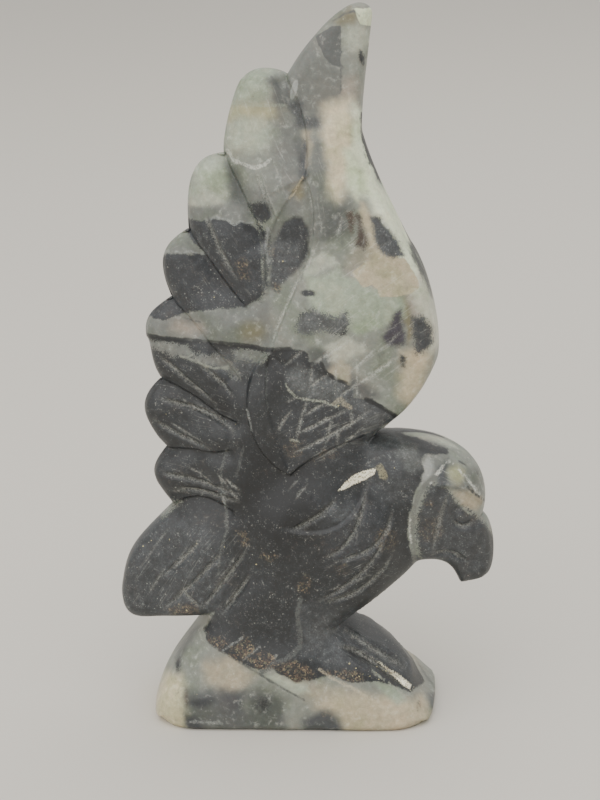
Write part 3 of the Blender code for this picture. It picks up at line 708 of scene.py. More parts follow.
@dataclass
class FineMesh:
    """A fine mesh of the slab: a near face, a far face and the edge between them."""

    form: SlabForm
    near_spacing: float = 0.00058
    far_spacing: float = 0.00110
    line_rows: tuple[float, ...] = (-0.9, -0.45, 0.0, 0.45, 0.9)
    row_unit: float = 0.0008
    ring_parts: tuple[float, ...] = (0.015, 0.06, 0.13, 0.23, 0.36, 0.5, 0.66, 0.84)
    smallest_gap: float = 0.00024
    ring_gap: float = 1.2
    row_gap: float = 1.4
    grid_gap: float = 0.6
    ring_clear: float = 0.9
    edge_rows: int = 13

    def thinned(self, groups: list[tuple[np.ndarray, float]]) -> np.ndarray:
        """Keep points that are clear of those kept before them.

        Args:
            groups: Lots of points with the gap that each keeps to all before it.

        Returns:
            The points that were kept, the first lot whole.
        """
        cell = max(gap for _, gap in groups)
        taken: dict[tuple[int, int], list[tuple[float, float]]] = {}
        kept: list[tuple[float, float]] = []
        for number, (points, gap) in enumerate(groups):
            for x, z in points.tolist():
                col, row = int(x // cell), int(z // cell)
                near = [
                    other
                    for c in (col - 1, col, col + 1)
                    for r in (row - 1, row, row + 1)
                    for other in taken.get((c, r), ())
                ]
                if number and any((x - a) ** 2 + (z - b) ** 2 < gap * gap for a, b in near):
                    continue
                kept.append((x, z))
                taken.setdefault((col, row), []).append((x, z))
        return np.array(kept)

    def ring_points(self) -> np.ndarray:
        """Points inside the outline that carry the rounding of its edge."""
        outline = self.form.outline
        out = outward(outline)
        rounding = self.form.blended(outline)[2]
        rows = []
        for part in self.ring_parts:
            reach = part * rounding
            moved = outline - out * reach[:, None]
            clear = nearest(moved, outline, closed=True)[0] > self.ring_clear * reach
            rows.append(moved[clear])
        points = np.vstack(rows)
        return points[inside(points, outline)]

    def row_points(self, lines: list[np.ndarray]) -> np.ndarray:
        """Rows of points along carved lines, kept inside the outline."""
        rows = [beside(line, part * self.row_unit) for line in lines for part in self.line_rows]
        points = np.vstack(rows)
        points = points[inside(points, self.form.outline)]
        clear = nearest(points, self.form.outline, closed=True)[0] > self.smallest_gap
        return points[clear]

    def grid_points(self, spacing: float) -> np.ndarray:
        """Points of a triangular grid inside the outline."""
        outline = self.form.outline
        low, high = outline.min(axis=0), outline.max(axis=0)
        rows = np.arange(low[1], high[1], spacing * math.sqrt(0.75))
        columns = np.arange(low[0], high[0], spacing)
        x = columns[None, :] + 0.5 * spacing * (np.arange(len(rows)) % 2)[:, None]
        z = np.broadcast_to(rows[:, None], x.shape)
        grid = np.stack([x.ravel(), z.ravel()], axis=1)
        return grid[inside(grid, outline)]

    def face(self, spacing: float, lines: list[np.ndarray]) -> tuple[np.ndarray, np.ndarray]:
        """Triangulate one face.

        Args:
            spacing: How far apart the points of plain areas lie.
            lines: Carved lines that need closer points.

        Returns:
            Points whose first ones are the outline's, and triangles.
        """
        outline = self.form.outline
        count = len(outline)
        points = self.thinned([
            (outline, 0.0),
            (self.ring_points(), self.smallest_gap * self.ring_gap),
            (self.row_points(lines), self.smallest_gap * self.row_gap),
            (self.grid_points(spacing), self.grid_gap * spacing),
        ])
        loop = [(k, (k + 1) % count) for k in range(count)]
        flat = [Vector((x / MM, z / MM)) for x, z in points.tolist()]
        verts, _, faces, origins, _, _ = delaunay_2d_cdt(flat, loop, [], 0, 1e-6)
        source = [min(old) for old in origins]
        faces = np.array([tuple(source[k] for k in face) for face in faces])
        faces = faces[inside(points[faces].mean(axis=1), outline)]
        return points, faces

    def edge_band(self, near: np.ndarray, far: np.ndarray) -> np.ndarray:
        """Rows of points between the two faces, a little proud of them except on the floor.

        Args:
            near: Depth of the near face at each point of the outline.
            far: Depth of the far face there.

        Returns:
            One row of points for each step across, near side first.
        """
        outline = self.form.outline
        rise = np.full(len(outline), self.form.edge_crown)
        rise[:self.form.floor_count] = 0.0
        out = outward(outline)
        rows = []
        for part in np.linspace(0.0, 1.0, self.edge_rows + 2)[1:-1]:
            crest = outline + out * (rise * (1.0 - (2.0 * part - 1.0) ** 2))[:, None]
            rows.append(np.stack([crest[:, 0], part * (near + far) - near, crest[:, 1]], axis=1))
        return np.array(rows)

    def build(self, name: str, near_lines: list[np.ndarray], far_lines: list[np.ndarray]) -> bpy.types.Object:
        """Make the whole slab as one closed mesh.

        Args:
            name: The object's name.
            near_lines: Carved lines of the near face.
            far_lines: Carved lines of the far face.

        Returns:
            The object, linked to the scene.
        """
        near, near_faces = self.face(self.near_spacing, near_lines)
        far, far_faces = self.face(self.far_spacing, far_lines)
        near_depth = self.form.half_depth(near, plain=False)
        far_depth = self.form.half_depth(far, plain=True)
        count = len(self.form.outline)
        band = self.edge_band(near_depth[:count], far_depth[:count])
        verts = np.vstack([
            np.stack([near[:, 0], -near_depth, near[:, 1]], axis=1),
            np.stack([far[:, 0], far_depth, far[:, 1]], axis=1),
            band.reshape(-1, 3),
        ])
        first = len(near) + len(far)
        rings = [np.arange(count)]
        rings += [first + row * count + np.arange(count) for row in range(self.edge_rows)]
        rings.append(len(near) + np.arange(count))
        faces = self.wound(near_faces, near, 1.0)
        faces += [[k + len(near) for k in face] for face in self.wound(far_faces, far, -1.0)]
        for a, b in zip(rings, rings[1:]):
            faces += np.stack([a, np.roll(a, -1), np.roll(b, -1), b], axis=1).tolist()
        mesh = bpy.data.meshes.new(name)
        mesh.from_pydata(verts.tolist(), [], faces)
        mesh.shade_smooth()
        block = bpy.data.objects.new(name, mesh)
        bpy.context.scene.collection.objects.link(block)
        return block

    def wound(self, faces: np.ndarray, points: np.ndarray, facing: float) -> list[list[int]]:
        """Triangles turned so that they look out of their face."""
        a, b, c = (points[faces[:, k]] for k in range(3))
        turn = (b[:, 0] - a[:, 0]) * (c[:, 1] - a[:, 1]) - (b[:, 1] - a[:, 1]) * (c[:, 0] - a[:, 0])
        keep = (turn * facing > 0.0)[:, None]
        return np.where(keep, faces, faces[:, [0, 2, 1]]).tolist()


@dataclass(frozen=True)
class Stroke:
    """One tool stroke on the near face, in photo pixels, and how hard it was pressed."""

    press: float
    points: Pixels


# Cross-hatching on the lower arm of the wing, and loose strokes on feathers, neck and tail.
WING_HATCH: tuple[Stroke, ...] = tuple(Stroke(*row) for row in (
    (0.7, ((287, 402), (297, 397))),
    (1.0, ((306, 415), (315, 409), (326, 403))),
    (1.0, ((299, 433), (313, 427), (326, 420), (348, 410))),
    (1.0, ((293, 453), (308, 447), (322, 440), (338, 431), (352, 424), (371, 409))),
    (0.9, ((321, 457), (334, 450), (345, 443), (357, 433), (366, 425))),
    (0.8, ((309, 388), (318, 381), (328, 375))),
    (0.8, ((312, 365), (324, 357), (336, 349), (352, 338))),
    (0.8, ((335, 400), (350, 389), (370, 377), (393, 358))),
    (0.7, ((350, 373), (363, 361), (378, 346))),
    (0.7, ((358, 385), (376, 373), (404, 353))),
    (0.8, ((308, 400), (303, 413), (300, 424), (296, 441))),
    (0.6, ((312, 365), (310, 387))),
    (0.8, ((332, 418), (329, 432), (324, 448))),
    (0.7, ((352, 409), (351, 427))),
    (0.6, ((336, 363), (335, 395))),
    (0.6, ((357, 359), (357, 401))),
    (0.6, ((339, 424), (337, 449))),
    (0.9, ((291, 411), (284, 420), (276, 433))),
    (0.5, ((304, 350), (295, 357), (285, 366))),
    (0.5, ((344, 337), (330, 350), (314, 366))),
    (0.5, ((402, 330), (388, 344), (372, 356))),
    (0.7, ((342, 217), (340, 226), (337, 238))),
    (0.5, ((365, 233), (362, 247))),
    (0.5, ((380, 308), (376, 320))),
    (0.4, ((352, 284), (344, 293))),
    (0.5, ((321, 301), (316, 318))),
    (0.4, ((347, 300), (337, 327))),
    (0.5, ((366, 262), (357, 277))),
    (0.8, ((319, 241), (309, 262), (297, 282), (290, 298), (282, 315), (276, 330), (270, 354))),
    (0.6, ((387, 222), (397, 238), (405, 254))),
    (0.5, ((309, 188), (311, 202), (313, 217))),
    (0.4, ((320, 216), (322, 232))),
    (0.45, ((374, 196), (379, 208), (386, 222))),
))
FEATHER_STROKES: tuple[Stroke, ...] = tuple(Stroke(*row) for row in (
    (0.8, ((217, 473), (222, 480), (228, 487))),
    (0.9, ((225, 478), (232, 485), (241, 491))),
    (0.8, ((227, 487), (233, 494), (240, 502))),
    (0.6, ((221, 488), (227, 494), (232, 500))),
    (0.7, ((186, 466), (200, 473), (217, 487))),
    (0.6, ((172, 491), (181, 491), (191, 494))),
    (0.6, ((184, 380), (202, 392), (214, 403))),
    (0.5, ((195, 402), (212, 412), (228, 424))),
    (0.6, ((170, 422), (186, 432), (204, 443))),
    (0.5, ((178, 396), (190, 404), (200, 409))),
    (0.5, ((300, 478), (294, 484), (288, 491))),
    (0.7, ((307, 485), (300, 493), (295, 500))),
    (0.5, ((353, 505), (357, 520), (357, 545))),
    (0.6, ((372, 574), (358, 581), (342, 586), (326, 591))),
    (0.6, ((366, 586), (350, 593), (334, 599), (318, 602))),
    (0.5, ((391, 555), (388, 565), (378, 577))),
    (0.5, ((170, 527), (160, 540), (150, 552))),
    (0.5, ((160, 540), (150, 553), (142, 566))),
    (0.5, ((186, 548), (178, 560), (168, 572))),
    (0.6, ((166, 566), (156, 582), (146, 597))),
    (0.5, ((236, 555), (228, 568), (218, 580))),
    (0.6, ((224, 581), (214, 594), (206, 606))),
    (0.5, ((238, 586), (230, 598), (222, 610))),
    (0.5, ((262, 178), (267, 192), (273, 206), (277, 216))),
    (0.5, ((272, 158), (278, 174), (284, 192))),
    (0.5, ((384, 455), (372, 461), (361, 467))),
))


@dataclass
class ToolStrokes:
    """Grooves that a hand tool left along strokes, with powder in them."""

    camera: PhotoCamera
    form: SlabForm
    step_px: float = 2.0
    fewest_marks: int = 5
    run_in: float = 0.25
    run_out: float = 0.35
    lightest: float = 0.25
    curve_spacing: float = 0.0004
    break_detail: float = 2.0
    break_roughness: float = 0.5
    break_noise: tuple[float, float] = (0.32, 0.62)
    break_press: tuple[float, float] = (0.45, 1.15)

    def sampled(self, pixels: Pixels) -> np.ndarray:
        """Points along a stroke, a pixel or two apart."""
        knots = np.array(pixels, dtype=float)
        gaps = np.hypot(*np.diff(knots, axis=0).T)
        where = np.concatenate([[0.0], np.cumsum(gaps)])
        marks = np.linspace(0.0, where[-1], max(self.fewest_marks, round(where[-1] / self.step_px)))
        return np.stack([np.interp(marks, where, knots[:, k]) for k in (0, 1)], axis=1)

    def on_near_face(self, strokes: tuple[Stroke, ...]) -> list[tuple[np.ndarray, float]]:
        """Strokes traced in the photograph, laid on the near face."""
        return [(self.camera.cast(self.sampled(s.points), self.form), s.press) for s in strokes]

    def on_face(self, lines: list[np.ndarray], plain: bool) -> list[tuple[np.ndarray, float]]:
        """Engraved lines of the side view, laid on one face."""
        side = 1.0 if plain else -1.0
        laid = []
        for line in lines:
            depth = side * self.form.half_depth(line, plain)
            laid.append((np.stack([line[:, 0], depth, line[:, 1]], axis=1), 1.0))
        return laid

    def guide(self, name: str, laid: list[tuple[np.ndarray, float]]) -> bpy.types.Object:
        """Make a curve object whose radius is how hard the tool was pressed.

        Args:
            name: The object's name.
            laid: Points of each stroke with its press.

        Returns:
            The curve object, left out of renders.
        """
        data = bpy.data.curves.new(name, "CURVE")
        data.dimensions = "3D"
        for points, press in laid:
            spline = data.splines.new("POLY")
            spline.points.add(len(points) - 1)
            share = np.linspace(0.0, 1.0, len(points))
            taper = smooth_step(share / self.run_in) * smooth_step((1.0 - share) / self.run_out)
            for knot, place, strength in zip(spline.points, points.tolist(), taper.tolist()):
                knot.co = (*place, 1.0)
                knot.radius = press * (self.lightest + (1.0 - self.lightest) * strength)
        guide = bpy.data.objects.new(name, data)
        guide.hide_render = True
        bpy.context.scene.collection.objects.link(guide)
        return guide

    def tree(self) -> bpy.types.NodeTree:
        """Node tree that sinks a groove along each stroke and marks where its powder lies."""
        sizes = dict.fromkeys(("Width", "Depth", "Powder", "Break Length"), "Float")
        tree, given = opened("tool_strokes", {"Strokes": "Object", **sizes})
        curves = add(tree, "GeometryNodeObjectInfo", {"Object": given["Strokes"]}).outputs["Geometry"]
        fine = add(
            tree, "GeometryNodeResampleCurve", {"Curve": curves, "Length": self.curve_spacing}, mode="LENGTH",
        )
        pressed = add(
            tree, "GeometryNodeStoreNamedAttribute",
            {"Geometry": fine, "Name": "press", "Value": add(tree, "GeometryNodeInputRadius")},
            data_type="FLOAT", domain="POINT",
        )
        wires = add(tree, "GeometryNodeCurveToMesh", {"Curve": pressed})
        gap = add(tree, "GeometryNodeProximity", {0: wires}, target_element="EDGES").outputs["Distance"]
        index = add(tree, "GeometryNodeSampleNearest", {"Geometry": wires}, domain="POINT")
        press = add(tree, "GeometryNodeInputNamedAttribute", {"Name": "press"}, data_type="FLOAT")
        felt = add(
            tree, "GeometryNodeSampleIndex", {"Geometry": wires, "Value": press, "Index": index},
            data_type="FLOAT", domain="POINT",
        )
        rough = unevenness(tree, given, given["Break Length"], self.break_detail, self.break_roughness)
        (low, high), (least, most) = self.break_noise, self.break_press
        broken = add(tree, "ShaderNodeMapRange", {0: rough, 1: low, 2: high, 3: least, 4: most})
        strength = add(tree, "ShaderNodeMath", {0: felt, 1: broken}, operation="MULTIPLY")
        breadth = add(tree, "ShaderNodeMath", {0: strength, 1: 0.5, 2: 0.5}, operation="MULTIPLY_ADD")
        half = add(tree, "ShaderNodeMath", {0: breadth, 1: given["Width"]}, operation="MULTIPLY")
        section = add(
            tree, "ShaderNodeMapRange", {0: gap, 1: half, 2: 0.0}, interpolation_type="SMOOTHSTEP",
        )
        groove = add(tree, "ShaderNodeMath", {0: section, 1: strength}, operation="MULTIPLY")
        sink = add(tree, "ShaderNodeMath", {0: groove, 1: given["Depth"]}, operation="MULTIPLY")
        inward = add(tree, "ShaderNodeMath", {0: sink, 1: -1.0}, operation="MULTIPLY")
        before = add(tree, "GeometryNodeInputNamedAttribute", {"Name": "powder"}, data_type="FLOAT")
        dusty = add(tree, "ShaderNodeMath", {0: groove, 1: given["Powder"]}, operation="MULTIPLY")
        dustiest = add(tree, "ShaderNodeMath", {0: before, 1: dusty}, operation="MAXIMUM")
        marked = add(
            tree, "GeometryNodeStoreNamedAttribute",
            {"Geometry": given["Geometry"], "Name": "powder", "Value": dustiest},
            data_type="FLOAT", domain="POINT",
        )
        return closed_by(tree, given, marked, inward)


@dataclass
class HandPolish:
    """The soft unevenness of a face ground and polished by hand."""

    detail: float = 2.5
    roughness: float = 0.45

    def tree(self) -> bpy.types.NodeTree:
        """Node tree that moves the surface in and out by a low noise."""
        tree, given = opened("hand_polish", dict.fromkeys(("Facet", "Height", "Floor Margin"), "Float"))
        wave = unevenness(tree, given, given["Facet"], self.detail, self.roughness)
        swing = add(tree, "ShaderNodeMath", {0: wave, 1: 0.5}, operation="SUBTRACT")
        level = add(tree, "ShaderNodeSeparateXYZ", {0: add(tree, "GeometryNodeInputPosition")}).outputs[2]
        free = add(
            tree, "ShaderNodeMapRange", {0: level, 2: given["Floor Margin"]}, interpolation_type="SMOOTHSTEP",
        )
        scaled = add(tree, "ShaderNodeMath", {0: swing, 1: given["Height"]}, operation="MULTIPLY")
        held = add(tree, "ShaderNodeMath", {0: scaled, 1: free}, operation="MULTIPLY")
        return closed_by(tree, given, given["Geometry"], held)


def attach(piece: bpy.types.Object, tree: bpy.types.NodeTree, values: dict[str, Any]) -> None:
    """Put a node tree on a piece with its named inputs set.

    Args:
        piece: The object.
        tree: The node tree.
        values: Input name to value.
    """
    modifier = piece.modifiers.new(tree.name, "NODES")
    modifier.node_group = tree
    for item in tree.interface.items_tree:
        if item.item_type == "SOCKET" and item.in_out == "INPUT" and item.name in values:
            modifier[item.identifier] = values[item.name]


def settle(piece: bpy.types.Object) -> None:
    """Replace a piece's mesh by what its modifiers make, and remove them."""
    graph = bpy.context.evaluated_depsgraph_get()
    made = bpy.data.meshes.new_from_object(piece.evaluated_get(graph), depsgraph=graph)
    piece.modifiers.clear()
    old = piece.data
    piece.data = made
    made.name = old.name + "_made"
    bpy.data.meshes.remove(old)


OVAL_POINTS = 12


def oval(x: float, y: float, across: float, down: float, tilt: float = 0.0) -> Pixels:
    """Outline of an ellipse in photo pixels.

    Args:
        x: Its centre's pixel column.
        y: Its centre's pixel row.
        across: Half its width.
        down: Half its height.
        tilt: How far it is turned clockwise, in degrees.

    Returns:
        Its points.
    """
    cosine, sine = math.cos(math.radians(tilt)), math.sin(math.radians(tilt))
    points = []
    for step in range(OVAL_POINTS):
        angle = step * math.tau / OVAL_POINTS
        a, b = across * math.cos(angle), down * math.sin(angle)
        points.append((x + a * cosine - b * sine, y + a * sine + b * cosine))
    return tuple(points)


@dataclass(frozen=True)
class Wash:
    """An area of one tone with a soft border, in photo pixels."""

    tone: Tone
    soft: float
    outline: Pixels


@dataclass(frozen=True)
class Inlay:
    """An area of one tone with a crisp broken border, in photo pixels."""

    tone: Tone
    outline: Pixels


@dataclass(frozen=True)
class Seam:
    """A thin line through the stone, in photo pixels, and how fully its tone covers."""

    tone: Tone
    cover: float
    width: float
    points: Pixels


@dataclass(frozen=True)
class DarkArea:
    """An area of black stone in photo pixels; a few also hold painted shade.

    The border fades over `fuzz` millimetres, and `pepper` is how far it breaks into grains.
    """

    fuzz: float
    pepper: float
    outline: Pixels


@dataclass(frozen=True)
class Amount:
    """How much of something an area of the photograph shows, from 0 to 1."""

    share: float
    outline: Pixels


@dataclass(frozen=True)
class Lay:
    """Fine polishing scratches of an area: their slope down to the right, and how many."""

    slope: float
    share: float
    outline: Pixels


# Tones of the pale stone, each laid over those before it, with some painted shade and highlights marked where
# they stand.
PALE_WASHES: tuple[Wash, ...] = tuple(Wash(*row) for row in (
    (SAGE, 10, ((228, 104), (238, 76), (256, 66), (276, 68), (262, 104))),
    (MINT, 14, oval(250, 136, 26, 26)),
    (LICHEN, 6, ((228, 104), (286, 105), (282, 118), (226, 119))),
    (FOG, 12, ((232, 152), (282, 150), (290, 206), (244, 208))),
    # Painted shade: a darker tone down the right side of the second feather, where its valley falls into
    # shade.
    (ASH, 14, ((280, 100), (300, 125), (304, 200), (278, 206), (272, 150))),
    (ASH, 8, ((236, 190), (270, 186), (280, 210), (250, 210))),
    # Painted shade: two darker strips along the second feather's edge below the wing tip.
    (PEWTER, 6, ((266, 80), (276, 76), (286, 104), (279, 112))),
    (PEWTER, 5, ((279, 80), (290, 78), (291, 104), (284, 104))),
    (MINT, 10, ((190, 196), (194, 166), (215, 152), (228, 155), (226, 190))),
    # Painted shade: a darker band along the border of the second and third feathers.
    (PEWTER, 6, ((225, 152), (236, 166), (245, 190), (250, 215), (232, 215))),
    (FROST, 5, ((190, 200), (205, 189), (226, 191), (224, 201), (208, 208), (192, 206))),
    (ASH, 5, ((186, 208), (250, 205), (250, 224), (186, 221))),
    (ASH, 5, ((162, 256), (190, 230), (202, 256))),
    (ASH, 8, (
        (288, 80), (300, 48), (316, 36), (322, 55), (342, 68), (342, 100), (322, 110), (322, 130),
        (300, 112),
    )),
    (BLUSH, 8, oval(350, 88, 10, 10)),
    (OLIVE, 6, ((332, 20), (350, 7), (360, 12), (356, 24), (338, 24))),
    (FROST, 7, oval(357, 37, 14, 14)),
    (HONEY, 9, ((324, 106), (350, 98), (357, 140), (352, 180), (338, 202), (324, 190), (322, 140))),
    (ASH, 7, ((310, 138), (322, 142), (327, 160), (328, 205), (318, 246), (306, 236))),
    (RIME, 6, (
        (354, 104), (364, 112), (368, 140), (380, 185), (392, 216), (378, 216), (362, 192), (352, 150),
    )),
    (ICE, 6, ((344, 150), (356, 150), (364, 186), (358, 202), (348, 190))),
    (OLIVE, 5, ((290, 188), (302, 180), (306, 196), (298, 204))),
    (ASH, 5, ((272, 218), (286, 196), (304, 204), (302, 216), (285, 223), (272, 250), (264, 240))),
    # Painted highlight: a paler strip on the ridge of the wing's arm.
    (BUFF, 3, ((302, 130), (312, 130), (311, 150), (308, 168), (305, 168), (304, 148))),
    # Painted shade: a darker strip in the step left of the arm's ridge.
    (PEWTER, 6, ((296, 136), (303, 140), (304, 166), (306, 176), (299, 178), (294, 150))),
    (PEWTER, 8, ((322, 206), (348, 204), (350, 236), (330, 240), (318, 238))),
    (BLUSH, 8, ((344, 270), (354, 242), (374, 238), (393, 258), (382, 288), (360, 286))),
    (SAND, 4, ((362, 203), (371, 214), (376, 246), (369, 252), (366, 230), (358, 212))),
    (SAND, 8, ((368, 262), (376, 248), (398, 252), (414, 270), (416, 300), (380, 296))),
    (FROST, 3, (
        (304, 272), (312, 258), (322, 252), (336, 258), (340, 266), (328, 267), (318, 272), (308, 276),
    )),
    (BLUSH, 6, ((398, 292), (426, 290), (432, 318), (412, 320))),
    (OLIVE, 3, ((395, 280), (399, 281), (409, 305), (413, 330), (409, 345))),
    (SAND, 7, ((402, 350), (424, 352), (434, 345), (424, 388), (408, 406), (398, 396))),
    (RIME, 5, ((374, 184), (394, 199), (424, 268), (432, 290), (420, 298), (410, 284), (382, 216))),
    (PEARL, 6, ((420, 266), (440, 316), (442, 345), (430, 352), (422, 320), (412, 290))),
    (SAGE, 4, (
        (305, 274), (315, 277), (338, 268), (346, 276), (354, 276), (364, 286), (378, 290), (382, 296),
        (404, 296), (404, 318), (360, 334), (312, 310),
    )),
    (PEWTER, 5, (
        (306, 350), (320, 347), (338, 358), (352, 375), (366, 384), (378, 396), (366, 402), (350, 394),
        (330, 377), (312, 365),
    )),
    (BUFF, 4, ((328, 368), (344, 358), (350, 368), (348, 385), (338, 381))),
    (FROST, 4, ((326, 346), (348, 336), (368, 350), (350, 360), (332, 362))),
    (ASH, 8, ((136, 322), (262, 298), (300, 286), (304, 350), (140, 345))),
    (FOG, 6, ((270, 300), (302, 284), (306, 316), (296, 344), (272, 344))),
    (BLUSH, 8, oval(188, 328, 16, 7)),
    (ASH, 6, ((140, 341), (272, 350), (262, 372), (242, 384), (190, 366), (142, 352))),
    (OLIVE, 10, oval(252, 332, 12, 9)),
    (ASH, 4, (
        (384, 428), (420, 430), (452, 440), (472, 457), (484, 480), (484, 500), (470, 498), (452, 488),
        (450, 468), (430, 452), (414, 441),
    )),
    (FROST, 2.5, ((392, 429), (424, 431), (452, 441), (468, 454), (462, 456), (446, 446), (420, 436))),
    (FOG, 4, ((446, 446), (470, 453), (478, 468), (462, 466), (448, 462))),
    (ASH, 4, ((420, 450), (437, 454), (446, 461), (437, 480), (424, 492), (418, 470))),
    (STEEL, 2.5, ((421, 462), (428, 456), (434, 468), (428, 482), (421, 484))),
    (SMOKE, 3, ((438, 466), (447, 460), (449, 486), (437, 488))),
    (LICHEN, 5, oval(457, 474, 8, 9)),
    (BUFF, 4, ((450, 490), (470, 492), (482, 500), (478, 509), (462, 505))),
    (HONEY, 9, ((152, 700), (164, 672), (182, 676), (185, 690), (186, 732), (156, 732))),
    (BUFF, 8, ((204, 664), (235, 656), (254, 674), (246, 688), (225, 692), (205, 688))),
    (PEWTER, 8, ((187, 690), (206, 688), (232, 694), (262, 690), (288, 700), (290, 732), (187, 732))),
    (SMOKE, 9, ((220, 688), (242, 692), (246, 710), (230, 714), (218, 704))),
    (ASH, 4, oval(247, 705, 3, 8)),
    (GRAPHITE, 5, oval(201, 702, 13, 6)),
    (UMBER, 3, oval(187, 698, 2, 8)),
    (GRAPHITE, 4, ((184, 714), (198, 718), (204, 732), (186, 732))),
    (FOG, 6, ((284, 690), (300, 698), (314, 712), (300, 732), (286, 732))),
    (BUFF, 8, ((292, 684), (320, 683), (357, 692), (340, 706), (316, 704))),
    (SAND, 8, (
        (316, 706), (340, 694), (362, 694), (410, 700), (426, 690), (432, 716), (405, 734), (345, 734),
        (338, 716),
    )),
    (SMOKE, 6, ((302, 720), (314, 712), (334, 713), (342, 723), (340, 734), (304, 734))),
    (MINT, 4, ((263, 676), (280, 676), (300, 681), (310, 690), (296, 694))),
    (SAGE, 4, ((374, 682), (392, 686), (408, 700), (398, 704), (384, 696))),
    (FOG, 4, ((416, 655), (426, 664), (436, 690), (434, 702), (426, 700), (420, 680))),
    (PEWTER, 3, ((428, 692), (436, 692), (434, 712), (428, 706))),
    (PEWTER, 3, ((176, 652), (192, 628), (200, 626), (188, 646), (181, 660), (178, 674))),
))

# Beds and crystals of the pale stone that end in a sharp line, clear of each other.
PALE_INLAYS: tuple[Inlay, ...] = (
    Inlay(SAND, (
        (352, 272), (366, 262), (386, 258), (404, 258), (414, 272), (420, 286), (412, 293), (403, 296),
        (391, 297), (380, 297), (378, 290), (372, 285), (363, 288), (358, 282),
    )),
    Inlay(STEEL, oval(294, 90, 3, 11, 14)),
    Inlay(ICE, ((355, 9), (373, 8), (373, 26), (361, 25), (356, 16))),
    Inlay(PEWTER, ((316, 36), (331, 26), (341, 25), (341, 66), (334, 66), (324, 57), (319, 46))),
    Inlay(ASH, ((328, 70), (341, 70), (341, 94), (330, 96))),
)

# The black stone, and painted shade in a few creases, marked where they stand.
DARK_AREAS: dict[str, DarkArea] = {
    "third and fourth feathers": DarkArea(0.3, 0.15, (
        (186, 218), (206, 221), (213, 218), (231, 222), (251, 223), (258, 232), (262, 246), (262, 262),
        (264, 280), (262, 297), (246, 307), (197, 311), (180, 314), (165, 321), (148, 316), (156, 304),
        (168, 296), (158, 272), (158, 260), (164, 254), (204, 254), (192, 240), (184, 228),
    )),
    "oval": DarkArea(0.9, 0.0, (
        (272, 250), (277, 232), (284, 222), (293, 217), (303, 218), (308, 228), (310, 242), (308, 254),
        (303, 264), (295, 273), (285, 281), (275, 291), (268, 286),
    )),
    "oval's foot": DarkArea(0.6, 0.5, (
        (276, 236), (290, 236), (300, 250), (292, 268), (280, 284), (272, 288), (270, 262),
    )),
    "root band": DarkArea(0.8, 0.7, (
        (257, 224), (268, 232), (272, 252), (268, 285), (260, 300), (262, 262),
    )),
    "body": DarkArea(0.3, 0.1, (
        (142, 333), (160, 338), (197, 341), (220, 344), (250, 346), (266, 350), (290, 349), (303, 350),
        (309, 354), (309, 362), (317, 362), (323, 368), (328, 375), (352, 386), (354, 398), (372, 399),
        (397, 417), (380, 428), (412, 436), (448, 449), (449, 455), (424, 453), (421, 462), (424, 472),
        (420, 484), (413, 498), (408, 524), (408, 540), (411, 554), (426, 560), (438, 590), (460, 612),
        (466, 674), (424, 682), (410, 692), (396, 686), (378, 682), (352, 683), (330, 675), (314, 679),
        (296, 682), (284, 676), (270, 667), (258, 670), (243, 664), (219, 650), (207, 641), (204, 628),
        (214, 613), (118, 632), (100, 560), (150, 500), (130, 400),
    )),
    "face": DarkArea(0.6, 0.5, (
        (421, 562), (418, 548), (416, 532), (418, 514), (428, 488), (436, 484), (447, 487), (453, 497),
        (460, 505), (470, 510), (487, 526), (500, 542), (492, 575), (462, 592), (440, 570),
    )),
    # Black stone and painted shade: the dark in the notch where the wing tip meets the second feather.
    "notch": DarkArea(1.1, 0.25, (
        (284, 103), (297, 99), (304, 103), (305, 116), (319, 117), (320, 128), (303, 129), (293, 128),
        (295, 118), (290, 110),
    )),
    # Black stone and painted shade: the dark in the fold where the wing's arm lies over the second feather.
    "wing fold": DarkArea(1.1, 0.3, ((303, 142), (307, 140), (308, 176), (302, 180), (300, 158))),
    "second feather's foot": DarkArea(0.7, 0.4, (
        (249, 203), (260, 201), (270, 205), (273, 216), (262, 224), (253, 218),
    )),
    "spot at the tip": DarkArea(0.5, 0.2, ((359, 53), (363, 51), (365, 58), (363, 65), (359, 62))),
    "left stripe": DarkArea(0.9, 0.4, ((347, 212), (353, 211), (355, 222), (354, 232), (348, 229))),
    "right stripe": DarkArea(0.9, 0.3, (
        (356, 214), (361, 216), (364, 230), (369, 244), (364, 250), (355, 246), (357, 230),
    )),
    "large patch": DarkArea(0.8, 0.25, (
        (371, 218), (379, 216), (384, 225), (395, 236), (400, 245), (404, 256), (393, 258), (385, 254),
        (378, 247), (374, 234),
    )),
    "small lens": DarkArea(0.5, 0.1, oval(307, 293, 8, 3, 4)),
    "speckled patch": DarkArea(0.8, 0.6, (
        (296, 326), (301, 314), (314, 309), (335, 317), (345, 312), (350, 322), (344, 334), (331, 333),
        (320, 331), (308, 336), (298, 333),
    )),
    "purple patch": DarkArea(1.1, 0.25, (
        (382, 337), (389, 326), (394, 313), (402, 309), (402, 322), (405, 332), (405, 344), (396, 348),
        (386, 344),
    )),
    "rim patch": DarkArea(1.0, 0.4, (
        (412, 317), (424, 316), (433, 328), (433, 342), (425, 352), (416, 354), (413, 336),
    )),
    "drip": DarkArea(0.9, 0.2, ((400, 354), (405, 357), (404, 368), (400, 366))),
    "front edge": DarkArea(0.3, 0.1, (
        (360, 112), (363, 113), (366, 132), (374, 150), (386, 187), (381, 184), (366, 157), (361, 138),
    )),
    "front edge, lower": DarkArea(0.8, 0.2, (
        (408, 242), (416, 248), (426, 270), (436, 300), (430, 294), (412, 256),
    )),
    "base, left": DarkArea(1.5, 0.5, oval(200, 703, 7, 2)),
    "base, middle": DarkArea(1.8, 0.8, oval(264, 705, 4, 6)),
    "base, small": DarkArea(0.8, 0.3, ((176, 657), (181, 659), (179, 671), (176, 669))),
}

